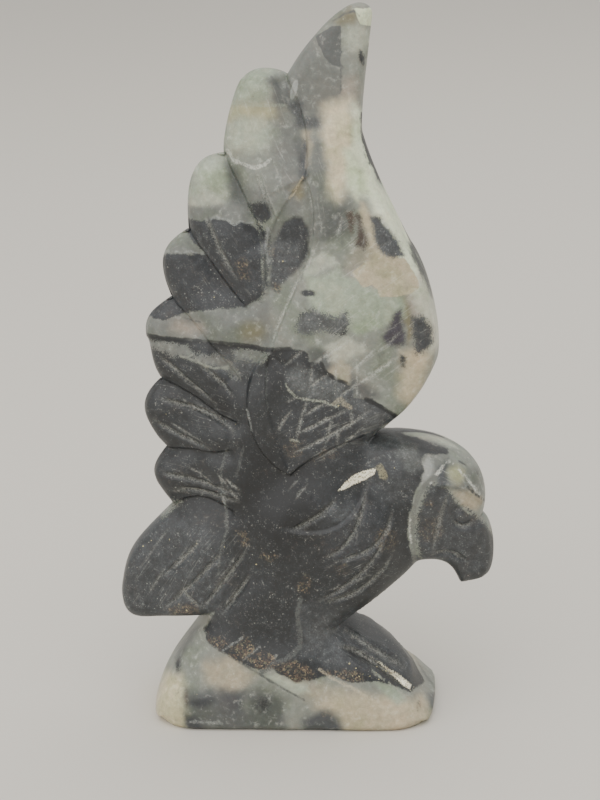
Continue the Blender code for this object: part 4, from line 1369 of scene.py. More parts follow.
# Pale stone that shows inside the dark areas.
PALE_WINDOWS: dict[str, Pixels] = {
    "band under the crack": (
        (142, 341), (160, 341), (176, 343), (187, 346), (193, 353), (206, 356), (216, 354), (227, 360),
        (238, 370), (240, 378), (231, 376), (226, 369), (214, 368), (205, 366), (196, 361), (184, 356),
        (170, 355), (159, 350), (142, 344),
    ),
    "patch by the covert": (
        (233, 352), (242, 349), (256, 350), (269, 353), (262, 364), (251, 361), (243, 360), (235, 363),
    ),
    "tail shoulder": ((158, 514), (170, 503), (182, 500), (172, 510), (164, 517)),
}

# Tones of the dark stone, each laid over those before it, with some painted shade, painted light and a
# painted highlight marked where they stand.
DARK_WASHES: tuple[Wash, ...] = tuple(Wash(*row) for row in (
    (LEAD, 8, ((146, 215), (270, 215), (262, 300), (146, 324))),
    # Tone of the notch's dark, part of it painted shade.
    (SLATE, 4, ((280, 96), (306, 96), (324, 112), (324, 132), (288, 132))),
    (SMOKE, 4, ((368, 214), (404, 236), (406, 260), (370, 260))),
    (SOOT, 16, ((250, 440), (306, 462), (318, 500), (310, 540), (280, 556), (230, 520))),
    (LEAD, 10, ((322, 520), (350, 500), (380, 506), (378, 556), (330, 566))),
    (GRAPHITE, 8, ((366, 462), (400, 452), (420, 470), (412, 500), (384, 506), (366, 490))),
    (SLATE, 4, ((294, 322), (314, 308), (346, 310), (352, 324), (330, 336), (298, 338))),
    (GRAPHITE, 4, ((406, 314), (436, 314), (436, 354), (406, 354))),
    (GRAPHITE, 6, ((416, 484), (450, 486), (486, 520), (494, 560), (460, 590), (414, 560))),
    (SOOT, 8, ((266, 352), (284, 352), (284, 380), (270, 400))),
    (SOOT, 8, oval(223, 400, 14, 14)),
    (LEAD, 10, ((290, 400), (350, 406), (372, 430), (344, 462), (290, 462), (276, 430))),
    (SLATE, 6, (
        (286, 376), (298, 366), (322, 376), (330, 376), (346, 384), (352, 392), (351, 406), (324, 402),
        (312, 398), (300, 396), (291, 390),
    )),
    (SMOKE, 8, ((346, 386), (396, 416), (380, 428), (362, 424), (346, 410))),
    (SLATE, 4, ((270, 232), (262, 246), (266, 300), (274, 286))),
    (SMOKE, 6, ((272, 236), (304, 236), (300, 270), (272, 290))),
    (LEAD, 4, ((280, 228), (292, 218), (304, 220), (309, 238), (296, 246), (282, 240))),
    (PLUM, 6, ((380, 308), (408, 308), (408, 350), (380, 350))),
    (UMBER, 3, ((345, 210), (369, 212), (370, 252), (345, 240))),
    # Tone of the wing fold's dark, part of it painted shade.
    (SMOKE, 4, ((300, 140), (310, 140), (311, 178), (300, 180))),
    (GRAPHITE, 12, ((108, 622), (110, 560), (150, 510), (206, 520), (228, 560), (222, 616))),
    (GRAPHITE, 8, ((296, 604), (352, 608), (422, 660), (412, 676), (345, 670), (296, 655))),
    (SMOKE, 8, ((306, 624), (330, 618), (350, 640), (340, 664), (308, 652))),
    # Painted shade: a darker line down a toe groove.
    (SOOT, 3, ((338, 644), (360, 652), (396, 676), (412, 693), (400, 686), (378, 668), (352, 656))),
    (GRAPHITE, 6, ((352, 444), (380, 428), (424, 442), (412, 450), (370, 456))),
    # Painted light: a lighter tone that lifts the shade cast by the wing's front corner onto the neck.
    (SLATE, 6, ((364, 430), (380, 424), (404, 430), (404, 444), (372, 450))),
    (PEWTER, 6, ((394, 452), (404, 445), (418, 446), (423, 470), (408, 472))),
    (SMOKE, 5, ((214, 352), (232, 352), (262, 362), (250, 376), (232, 380), (210, 370))),
    # Painted highlight: a lighter grey facet on the neck.
    (SMOKE, 6, ((328, 505), (352, 504), (352, 518), (334, 520))),
))

# Pale veins, and the darker seams of the pale stone; one pale line is a painted highlight, marked where it
# stands.
PALE_VEINS: tuple[Seam, ...] = tuple(Seam(*row) for row in (
    (MINT, 0.5, 2.4, ((228, 103), (242, 104), (256, 106), (286, 105))),
    (MILK, 0.5, 1.4, ((228, 137), (240, 139), (248, 143))),
    (MILK, 0.6, 3.4, ((227, 150), (234, 161), (254, 168), (264, 165), (270, 160))),
    (STEEL, 0.8, 2.4, ((164, 252), (172, 251), (181, 253), (191, 251), (203, 254))),
    (STEEL, 0.9, 2.2, ((206, 222), (213, 218), (226, 219), (234, 225), (240, 221), (252, 223))),
    (HONEY, 0.8, 2.4, ((303, 177), (294, 193), (290, 198))),
    (FROST, 0.9, 2.2, ((286, 384), (289, 391), (296, 397), (308, 400), (325, 402), (338, 407))),
    (BUFF, 0.8, 4.6, ((334, 404), (341, 399), (344, 404), (350, 407))),
    (BRASS, 0.35, 8.0, ((380, 468), (384, 476))),
    (FROST, 0.8, 2.6, ((291, 440), (298, 441))),
    (FROST, 0.7, 2.4, ((180, 356), (196, 361), (206, 366), (214, 368), (228, 368))),
    (ASH, 0.6, 2.4, ((227, 448), (221, 470), (222, 486), (226, 503), (227, 530), (222, 545))),
    (STEEL, 0.8, 2.4, ((221, 494), (224, 501), (226, 508))),
    (PEWTER, 0.7, 2.6, ((243, 448), (240, 462), (237, 476))),
    (ASH, 0.5, 1.8, ((222, 545), (219, 560), (218, 576))),
    (PEWTER, 0.95, 5.0, (
        (301, 598), (297, 616), (300, 632), (301, 644), (296, 652), (284, 660), (262, 672),
    )),
    (ASH, 0.85, 4.8, ((436, 476), (426, 484), (419, 494), (414, 508), (412, 526), (413, 545), (415, 562))),
    (MILK, 0.9, 2.2, ((410, 520), (410, 532), (412, 546))),
    (MILK, 0.8, 3.4, ((443, 466), (437, 474), (430, 482))),
    (MILK, 0.8, 2.2, ((459, 470), (473, 486), (479, 495))),
    (MILK, 0.7, 2.0, ((447, 462), (454, 464))),
    (STEEL, 0.6, 1.6, ((438, 461), (452, 459), (462, 462))),
    (FROST, 0.7, 2.2, ((455, 500), (464, 508), (470, 514))),
    (FOG, 0.7, 2.0, ((184, 590), (190, 599), (198, 607))),
    (HONEY, 0.6, 3.2, ((320, 670), (332, 678), (346, 685), (362, 694), (378, 704), (392, 714))),
    (STEEL, 0.7, 2.2, ((222, 651), (236, 642), (242, 638))),
    (STEEL, 0.7, 2.2, ((243, 660), (256, 650), (260, 646))),
    (STEEL, 0.8, 2.4, ((262, 672), (272, 662), (276, 656))),
    (FROST, 0.7, 2.0, ((304, 694), (306, 686), (312, 680))),
    (FROST, 0.7, 2.0, ((199, 630), (202, 640), (206, 644))),
    (PEWTER, 0.8, 2.0, ((266, 368), (266, 394), (268, 410))),
    (STEEL, 0.9, 2.0, ((247, 410), (250, 420), (252, 431))),
    (FROST, 0.8, 2.8, ((372, 671), (402, 693), (406, 700))),
    (STEEL, 0.7, 3.0, ((268, 228), (266, 246), (268, 262))),
    (PEWTER, 0.8, 3.0, ((208, 218), (224, 254), (232, 270))),
    # Painted highlight: a paler line along the ridge of the wing's arm.
    (BLUSH, 0.8, 2.4, ((307, 130), (308, 150), (306, 168))),
    (MILK, 0.7, 2.6, ((382, 220), (388, 228))),
    (STEEL, 0.8, 2.4, ((190, 722), (206, 722), (222, 724))),
))

# Dark cracks and joints.
DARK_CRACKS: tuple[Seam, ...] = tuple(Seam(*row) for row in (
    (SOOT, 0.9, 4.6, ((142, 334), (160, 338), (178, 340), (197, 341), (248, 346), (268, 350), (290, 349))),
    (SOOT, 0.9, 4.2, ((366, 399), (378, 405), (397, 417))),
    (SOOT, 0.9, 3.4, ((321, 363), (327, 373), (336, 379), (347, 383))),
    (GRAPHITE, 0.8, 2.0, ((219, 650), (284, 689), (304, 700))),
    (PEWTER, 0.7, 1.6, ((341, 46), (341, 70), (341, 92))),
    (SMOKE, 0.8, 1.6, ((360, 50), (362, 56), (364, 63))),
    (CHARCOAL, 0.8, 3.6, ((396, 433), (412, 439), (426, 445))),
    (SOOT, 0.8, 3.4, ((418, 442), (434, 448), (447, 453))),
    (CHARCOAL, 0.8, 2.2, ((459, 461), (468, 466), (477, 474))),
    (SMOKE, 0.8, 1.8, ((333, 21), (344, 14), (354, 11), (360, 17))),
    (SMOKE, 0.8, 1.6, ((200, 322), (192, 320), (184, 318))),
    (SMOKE, 0.8, 1.5, ((271, 76), (277, 84), (281, 92))),
    (CHARCOAL, 0.9, 2.6, ((468, 487), (475, 494), (484, 500))),
    (PEWTER, 0.7, 2.4, ((324, 56), (333, 64), (343, 67))),
))

# Brown oxide, and how fully it covers.
OXIDE_SPOTS: dict[str, Amount] = {
    "third feather": Amount(0.6, ((236, 262), (244, 257), (250, 268), (250, 280), (240, 278))),
    "oval's foot": Amount(0.8, oval(276, 288, 5, 4)),
    "root band": Amount(0.4, ((268, 244), (275, 243), (275, 256), (268, 256))),
    "hatching": Amount(0.35, oval(293, 449, 9, 9)),
    "hatching, right": Amount(0.4, oval(329, 454, 9, 4)),
    "breast": Amount(0.7, ((298, 590), (300, 578), (308, 574), (312, 582), (308, 594))),
    "belly": Amount(0.6, oval(269, 557, 8, 4)),
    "tail root": Amount(0.5, ((234, 530), (246, 532), (251, 545), (242, 546))),
    "tail underside": Amount(0.6, ((170, 606), (196, 602), (200, 612), (172, 616))),
    "neck": Amount(0.35, oval(386, 540, 12, 12)),
    "cheek": Amount(0.45, oval(429, 503, 6, 3)),
    "cheek, lower": Amount(0.35, oval(432, 530, 12, 12)),
    "breast feathers": Amount(0.35, oval(342, 569, 9, 5)),
    "heel, left": Amount(0.7, ((206, 639), (222, 637), (229, 646), (220, 651), (211, 645))),
    "heel, second": Amount(1.0, ((224, 653), (247, 638), (255, 647), (251, 656), (240, 662))),
    "heel, third": Amount(1.0, ((250, 660), (256, 652), (263, 650), (276, 657), (268, 668), (257, 669))),
    "heel, fourth": Amount(0.9, (
        (272, 667), (284, 662), (300, 661), (308, 666), (316, 676), (312, 681), (296, 682),
    )),
    "toes": Amount(0.8, ((326, 672), (345, 670), (362, 672), (362, 681), (344, 682))),
    "base": Amount(0.7, oval(419, 706, 2, 5)),
    "base, dark cloud": Amount(0.4, oval(328, 714, 7, 3)),
}

# Brassy leaf on the stone, where a painted glint stands for its bright reflection.
LEAF_AND_GLINT_PATCHES: dict[str, Pixels] = {
    "neck": (
        (338, 491), (346, 482), (354, 475), (364, 471), (376, 468), (374, 474), (366, 479), (354, 484),
        (344, 489),
    ),
    "toe": ((371, 656), (380, 662), (390, 670), (398, 674), (414, 687), (411, 690), (402, 684), (384, 667)),
}

# How thickly pale flecks lie.
SALTED_AREAS: tuple[Amount, ...] = tuple(Amount(*row) for row in (
    (1.0, ((302, 314), (326, 312), (350, 316), (344, 331), (304, 331))),
    (0.2, ((140, 250), (260, 230), (262, 300), (150, 320))),
    (1.0, ((172, 284), (210, 272), (245, 296), (236, 308), (185, 308))),
    (0.95, ((276, 238), (292, 238), (298, 256), (284, 282), (272, 286), (270, 262))),
    (0.7, ((160, 398), (200, 398), (240, 426), (236, 446), (200, 440), (150, 414))),
    (0.4, ((120, 610), (122, 560), (160, 520), (216, 520), (214, 560), (160, 612))),
    (0.25, ((220, 530), (300, 530), (400, 560), (330, 610), (240, 600))),
    (0.9, ((374, 466), (392, 464), (402, 476), (404, 492), (390, 490), (376, 482))),
    (0.45, ((424, 494), (440, 500), (478, 530), (440, 560), (424, 540))),
    (0.7, ((284, 400), (350, 400), (366, 424), (340, 462), (288, 462))),
    (0.9, ((326, 668), (380, 662), (392, 676), (386, 684), (352, 682))),
    (0.5, ((262, 222), (276, 224), (274, 284), (264, 284))),
    (0.95, ((188, 196), (205, 187), (226, 188), (226, 202), (208, 209), (188, 207))),
    (0.85, ((200, 716), (226, 716), (232, 730), (198, 730))),
    (0.7, ((240, 694), (250, 692), (252, 712), (242, 712))),
    (0.8, ((348, 502), (360, 504), (360, 530), (350, 526))),
    (0.6, ((204, 352), (268, 350), (262, 366), (228, 378))),
    (1.0, ((160, 398), (196, 400), (206, 410), (186, 412), (162, 408))),
    (1.0, ((208, 414), (236, 422), (238, 436), (216, 438))),
    (0.9, ((286, 366), (346, 372), (352, 404), (300, 398))),
))

# How many of the flecks are brassy.
BRASSY_AREAS: tuple[Amount, ...] = tuple(Amount(*row) for row in (
    (0.95, ((372, 464), (392, 462), (394, 480), (376, 482))),
    (0.5, ((392, 466), (406, 470), (404, 490), (390, 486))),
    (0.8, ((330, 666), (380, 660), (418, 670), (416, 694), (352, 684))),
    (0.6, ((180, 520), (206, 520), (200, 545), (180, 545))),
    (0.5, ((236, 552), (262, 552), (260, 578), (246, 578))),
))

# Where fine polishing scratches show.
SCRATCHED_AREAS: tuple[Lay, ...] = tuple(Lay(*row) for row in (
    (-38.0, 0.36, ((304, 236), (348, 204), (408, 250), (438, 340), (400, 410), (352, 390), (308, 350))),
    (-28.0, 0.45, ((284, 396), (352, 392), (400, 418), (350, 470), (286, 466), (272, 430))),
    (80.0, 0.35, ((300, 120), (352, 96), (364, 190), (306, 236))),
    (74.0, 0.35, ((232, 80), (282, 74), (298, 120), (302, 196), (240, 200))),
    (34.0, 0.3, ((142, 352), (200, 362), (246, 410), (236, 450), (190, 448), (140, 420))),
    (26.0, 0.25, ((150, 450), (210, 450), (246, 500), (180, 504), (150, 480))),
    (-52.0, 0.3, ((110, 612), (130, 560), (170, 520), (258, 530), (246, 610), (160, 614))),
    (62.0, 0.15, ((186, 222), (262, 224), (262, 300), (170, 312))),
    (-24.0, 0.5, ((320, 556), (400, 540), (400, 576), (330, 606), (312, 600))),
    (34.0, 0.4, ((300, 612), (352, 612), (420, 664), (410, 690), (330, 660))),
    (30.0, 0.4, ((420, 446), (450, 448), (484, 480), (480, 500), (424, 486))),
))


@dataclass
class StonePattern:
    """Where the stone's bands, veins and minerals run, and where shade and highlights are painted, worked out
    at any point of it.
    """

    camera: PhotoCamera
    px_per_mm: float = 3.6
    drift: tuple[float, float] = (0.006, -0.009)
    drift_depth: float = 0.012
    far_reach: float = 30.0
    wander: tuple[tuple[float, float], ...] = ((16.0, 3.2), (6.0, 1.4))
    seed: int = 7
    area_soft: float = 9.0
    lay_soft: float = 12.0
    lay_spread: float = 5.0
    window_fuzz: float = 0.5
    window_pepper: float = 0.6
    least_salt: float = 0.06
    least_brass: float = 0.04

    def places(self, points: np.ndarray) -> np.ndarray:
        """Where points fall in the photograph.

        The far half of the slab repeats the near half, moved along the bedding.

        Args:
            points: Rows of x, y and z.

        Returns:
            Rows of pixel coordinates.
        """
        behind = smooth_step(points[:, 1] / self.drift_depth)
        moved = points.copy()
        moved[:, 1] = -np.abs(points[:, 1])
        moved[:, 0] += self.drift[0] * behind
        moved[:, 2] += self.drift[1] * behind
        return self.camera.project(moved)

    def wandered(self, places: np.ndarray) -> np.ndarray:
        """Places moved a little here and there, for the uneven borders of real stone."""
        # Without a seed the vector noise is another one in each run.
        noise.seed_set(self.seed)
        moved = places.copy()
        for size, reach in self.wander:
            for row, (x, y) in enumerate((places / size).tolist()):
                shift = noise.noise_vector(Vector((x, y, size)))
                moved[row] += reach * shift.x, reach * shift.y
        return moved

    def depth_inside(self, places: np.ndarray, outline: Pixels) -> np.ndarray:
        """How far inside an outline each place lies, in pixels, below zero outside."""
        ring = np.array(outline, dtype=float)
        low, high = ring.min(axis=0) - self.far_reach, ring.max(axis=0) + self.far_reach
        close = np.all((places > low) & (places < high), axis=1)
        depth = np.full(len(places), -self.far_reach)
        gap = nearest(places[close], ring, closed=True)[0]
        depth[close] = np.where(inside(places[close], ring), gap, -gap)
        return depth

    def washed(self, places: np.ndarray, ground: Tone, washes: tuple[Wash, ...]) -> np.ndarray:
        """Colours of a ground with washes laid over it, as rows of linear light."""
        colour = np.tile(np.array(ground.light), (len(places), 1))
        for wash in washes:
            share = smooth_step(0.5 + self.depth_inside(places, wash.outline) / (2.0 * wash.soft))
            colour += share[:, None] * (np.array(wash.tone.light) - colour)
        return colour

    def deepest(self, places: np.ndarray, outlines: Any) -> tuple[np.ndarray, np.ndarray]:
        """How far inside any of several outlines each place lies, in millimetres, and in which."""
        depths = np.stack([self.depth_inside(places, outline) for outline in outlines])
        return depths.max(axis=0) / self.px_per_mm, depths.argmax(axis=0)

    def seamed(self, places: np.ndarray, seams: tuple[Seam, ...]) -> tuple[np.ndarray, np.ndarray]:
        """How far inside the nearest seam each place lies, in millimetres, and its tone and cover."""
        gaps = [nearest(places, np.array(seam.points, dtype=float))[0] for seam in seams]
        depths = np.stack([seam.width / 2.0 - gap for seam, gap in zip(seams, gaps)])
        tones = np.array([(*seam.tone.light[:3], seam.cover) for seam in seams])
        return depths.max(axis=0) / self.px_per_mm, tones[depths.argmax(axis=0)]

    def amount(self, places: np.ndarray, areas: tuple[Amount, ...], ground: float) -> np.ndarray:
        """The most that any of several areas asks for at each place."""
        most = np.full(len(places), ground)
        for area in areas:
            depth = self.depth_inside(places, area.outline)
            most = np.maximum(most, area.share * smooth_step(0.5 + depth / self.area_soft))
        return most

    def laid(self, points: np.ndarray, places: np.ndarray) -> tuple[np.ndarray, np.ndarray]:
        """Coordinates along and across the polishing scratches in millimetres, and how many there are."""
        shares = np.stack([
            lay.share * smooth_step(self.depth_inside(places, lay.outline) / self.lay_soft)
            for lay in SCRATCHED_AREAS
        ])
        turn = np.radians([lay.slope for lay in SCRATCHED_AREAS])[shares.argmax(axis=0)]
        x, y, z = points.T / MM
        along = x * np.cos(turn) - z * np.sin(turn)
        across = x * np.sin(turn) + z * np.cos(turn) + y
        return np.stack([along, across, turn * self.lay_spread], axis=1), shares.max(axis=0)

    def fields(self, points: np.ndarray) -> dict[str, np.ndarray]:
        """Every field of the pattern at some points.

        Args:
            points: Rows of x, y and z.

        Returns:
            Field name to one number, one vector or one colour for each point.
        """
        places = self.places(points)
        loose = self.wandered(places)
        areas = tuple(DARK_AREAS.values())
        dark, area = self.deepest(places, [a.outline for a in areas])
        fuzz, pepper = np.array([(a.fuzz, a.pepper) for a in areas])[area].T
        windows, _ = self.deepest(places, PALE_WINDOWS.values())
        inlay, bed = self.deepest(places, [i.outline for i in PALE_INLAYS])
        vein, vein_tone = self.seamed(places, PALE_VEINS)
        crack, crack_tone = self.seamed(places, DARK_CRACKS)
        oxide, spot = self.deepest(places, [a.outline for a in OXIDE_SPOTS.values()])
        # Depth inside the brassy leaf patches, whose glint is painted.
        pyrite, _ = self.deepest(places, LEAF_AND_GLINT_PATCHES.values())
        lay, scratched = self.laid(points, places)
        return {
            "pale_tone": self.washed(loose, FOG, PALE_WASHES),
            "dark_tone": self.washed(loose, CHARCOAL, DARK_WASHES),
            "dark": np.minimum(dark, -windows),
            "fuzz": np.where(dark < -windows, fuzz, self.window_fuzz),
            "pepper": np.where(dark < -windows, pepper, self.window_pepper),
            "inlay": inlay,
            "inlay_tone": np.array([i.tone.light for i in PALE_INLAYS])[bed],
            "vein": vein,
            "vein_tone": vein_tone,
            "crack": crack,
            "crack_tone": crack_tone,
            "oxide": oxide,
            "oxide_share": np.array([a.share for a in OXIDE_SPOTS.values()])[spot],
            "pyrite": pyrite,
            "salt": self.amount(places, SALTED_AREAS, self.least_salt),
            "brass": self.amount(places, BRASSY_AREAS, self.least_brass),
            "lay": lay,
            "scratched": scratched,
        }

    def write(self, mesh: bpy.types.Mesh) -> None:
        """Store every field on a mesh's points."""
        flat = np.empty(len(mesh.vertices) * 3, dtype=np.float32)
        mesh.vertices.foreach_get("co", flat)
        kinds = {1: ("FLOAT", "value"), 3: ("FLOAT_VECTOR", "vector"), 4: ("FLOAT_COLOR", "color")}
        for name, values in self.fields(flat.reshape(-1, 3).astype(float)).items():
            kind, slot = kinds[values.size // len(mesh.vertices)]
            mesh.attributes.new(name, kind, "POINT").data.foreach_set(slot, values.ravel())


@dataclass(frozen=True)
class Swing:
    """One range of a signal made another, held at its ends."""

    source: str
    low: float
    high: float
    least: float
    most: float
    kind: str = "LINEAR"


@dataclass(frozen=True)
class Border:
    """An area that follows a field, its edge moved by a signal: reach and softness in millimetres."""

    field: str
    signal: str
    reach: float
    soft: float


@dataclass(frozen=True)
class Step:
    """A sum worked from signals and numbers."""

    operation: str
    parts: tuple[Any, ...]


@dataclass(frozen=True)
class Layer:
    """A tone, or a signal that holds one, laid over the stone where all of its signals are strong."""

    tone: Any
    signals: tuple[str, ...] = ()
    blend: str = "MIX"


# Signals are noises and fields, and each of these makes a new one from those before it.
RECIPES: dict[str, Any] = {
    "pale_cloud": Swing("cloud", 0.3, 0.7, 1.00, 1.28),
    "pale_mottle": Swing("mottle", 0.3, 0.7, 0.84, 1.15),
    "pale_grain": Swing("grain", 0.3, 0.7, 0.90, 1.09),
    "pink_beds": Swing("cloud", 0.52, 0.64, 0.0, 0.45),
    "green_beds": Swing("cloud", 0.50, 0.38, 0.0, 1.0),
    "crystal_spots": Swing("mottle", 0.52, 0.70, 0.0, 0.34),
    "crystal_beds": Swing("jag", 0.45, 0.60, 0.0, 1.0),
    "wisp_lines": Swing("jag", 0.42, 0.32, 0.0, 0.45),
    "wisp_beds": Swing("cloud", 0.50, 0.36, 0.0, 1.0),
    "dot_grains": Swing("grain", 0.58, 0.68, 0.0, 0.45),
    "dot_beds": Swing("mottle", 0.50, 0.40, 0.0, 1.0),
    "black_swirl": Swing("jag", 0.3, 0.7, 0.75, 1.30),
    "black_mottle": Swing("mottle", 0.3, 0.7, 0.70, 1.40),
    "black_grain": Swing("grain", 0.3, 0.7, 0.66, 1.45),
    "smudge_spots": Swing("mottle", 0.56, 0.70, 0.0, 0.32),
    "smudge_beds": Swing("jag", 0.50, 0.62, 0.0, 1.0),
    "dusty_grains": Swing("grain", 0.56, 0.68, 0.0, 0.50),
    "dusty_beds": Swing("mottle", 0.48, 0.60, 0.0, 1.0),
    "brown_beds": Swing("cloud", 0.54, 0.66, 0.0, 0.35),
    # black stone, whose border fades and breaks into grains by area
    "grit": Swing("grain", 0.42, 0.58, -1.2, 1.2),
    "dark_start": Step("ADD", ("dark", -1.1)),
    "dark_jagged": Step("MULTIPLY_ADD", ("jag", 2.2, "dark_start")),
    "dark_broken": Step("MULTIPLY_ADD", ("pepper", "grit", "dark_jagged")),
    "dark_depth": Step("DIVIDE", ("dark_broken", "fuzz")),
    "in_black": Swing("dark_depth", -1.0, 1.0, 0.0, 1.0, "SMOOTHSTEP"),
    # beds, veins, cracks, oxide, and the brassy leaf with its painted glint
    "inlay_area": Border("inlay", "jag", 1.4, 0.16),
    "vein_area": Border("vein", "mottle", 1.3, 0.24),
    "vein_grains": Swing("grain", 0.40, 0.53, 0.2, 1.0),
    "crack_area": Border("crack", "jag", 1.1, 0.25),
    "crack_grains": Swing("mottle", 0.34, 0.50, 0.60, 1.0),
    "oxide_area": Border("oxide", "mottle", 4.0, 0.7),
    "rust_breaks": Swing("mottle", 0.38, 0.54, 0.25, 0.9),
    "leaf_and_glint_area": Border("pyrite", "grain", 1.6, 0.25),
    "leaf_and_glint_ground": Swing("grain", 0.34, 0.46, 0.2, 1.0),
    "leaf_and_glint": Step("MULTIPLY", ("leaf_and_glint_area", "leaf_and_glint_ground")),
    "glint_grains": Swing("grain", 0.38, 0.50, 0.0, 1.0),
    # pale and brassy flecks
    "salt_most": Swing("salt", 0.0, 1.0, 0.0, 0.60),
    "salt_beds": Swing("mottle", 0.44, 0.56, 0.15, 1.0),
    "salty": Step("MULTIPLY", ("salt_most", "salt_beds")),
    "chosen": Step("LESS_THAN", ("fleck_chance_a", "salty")),
    "fleck_size": Swing("fleck_chance_b", 0.0, 1.0, 0.06, 0.27),
    "uneven": Step("MULTIPLY_ADD", ("grain", 0.7, "fleck_gap")),
    "centred": Step("SUBTRACT", ("uneven", 0.35)),
    "near": Step("LESS_THAN", ("centred", "fleck_size")),
    "fleck": Step("MULTIPLY", ("near", "chosen")),
    "golden": Step("LESS_THAN", ("fleck_chance_c", "brass")),
    "brass_fleck": Step("MULTIPLY", ("fleck", "golden")),
    "salt_fleck": Step("SUBTRACT", ("fleck", "brass_fleck")),
    "fleck_cover": Swing("fleck_chance_b", 0.0, 1.0, 0.54, 0.18),
    # tool marks, dull and powdery
    "powder_grains": Swing("grain", 0.41, 0.55, 0.12, 1.0),
    "powdery": Step("MULTIPLY", ("powder", "powder_grains")),
    "scratch_lines": Swing("lines", 0.60, 0.69, 0.0, 0.75),
    "scratch_breaks": Swing("mottle", 0.40, 0.56, 0.25, 1.0),
    "scratch_share": Step("MULTIPLY", ("scratched", "scratch_breaks")),
    "scratch": Step("MULTIPLY", ("scratch_lines", "scratch_share")),
    "pale_dust": Swing("in_black", 0.0, 1.0, 0.75, 0.0),
    # gloss, metal and relief
    "polish": Swing("mottle", 0.3, 0.7, 0.35, 0.48),
    "matt": Step("MAXIMUM", ("scratch", "powdery")),
    "metal": Step("MAXIMUM", ("brass_fleck", "leaf_and_glint")),
    "shine": Step("MULTIPLY", ("metal", 0.6)),
    "pits": Swing("powder", 0.0, 1.0, 0.25, 1.0),
    "pitted": Step("MULTIPLY", ("grain", "pits")),
    "height": Step("MULTIPLY_ADD", ("scratch", -0.5, "pitted")),
}
PALE_LAYERS: tuple[Layer, ...] = (
    Layer("inlay_tone", ("inlay_area",)),
    Layer("pale_cloud", blend="MULTIPLY"),
    Layer("pale_mottle", blend="MULTIPLY"),
    Layer("pale_grain", blend="MULTIPLY"),
    Layer(ROSE, ("pink_beds",), "MULTIPLY"),
    Layer(LEAFY, ("green_beds",), "MULTIPLY"),
    Layer(MILK, ("crystal_spots", "crystal_beds")),
    Layer(PEWTER, ("wisp_lines", "wisp_beds")),
    Layer(RUST, ("dot_grains", "dot_beds")),
)
BLACK_LAYERS: tuple[Layer, ...] = (
    Layer("black_swirl", blend="MULTIPLY"),
    Layer("black_mottle", blend="MULTIPLY"),
    Layer("black_grain", blend="MULTIPLY"),
    Layer(PEWTER, ("smudge_spots", "smudge_beds")),
    Layer(DUST, ("dusty_grains", "dusty_beds")),
    Layer(UMBER, ("brown_beds", "dusty_beds")),
)
STONE_LAYERS: tuple[Layer, ...] = (
    Layer("black", ("in_black",)),
    Layer("vein_tone", ("vein_area", "vein_cover", "vein_grains")),
    Layer("crack_tone", ("crack_area", "crack_cover", "crack_grains")),
    Layer("rust", ("oxide_area", "oxide_share", "rust_breaks")),
    Layer(MILK, ("salt_fleck", "fleck_cover")),
    Layer(BRASS, ("brass_fleck",)),
    Layer(MILK, ("scratch", "pale_dust")),
    Layer(DUST, ("scratch", "in_black")),
    Layer(MILK, ("powdery", "pale_dust")),
    Layer(DUST, ("powdery", "in_black")),
    # The brassy leaf, then its painted glint: near-white cream over its grains.
    Layer(BRASS, ("leaf_and_glint",)),
    Layer(LEAF, ("leaf_and_glint", "glint_grains")),
)
RUST_STOPS: tuple[tuple[float, Tone], ...] = (
    (0.0, CHARCOAL), (0.30, UMBER), (0.56, RUST), (0.80, OLIVE), (0.90, TAN),
)


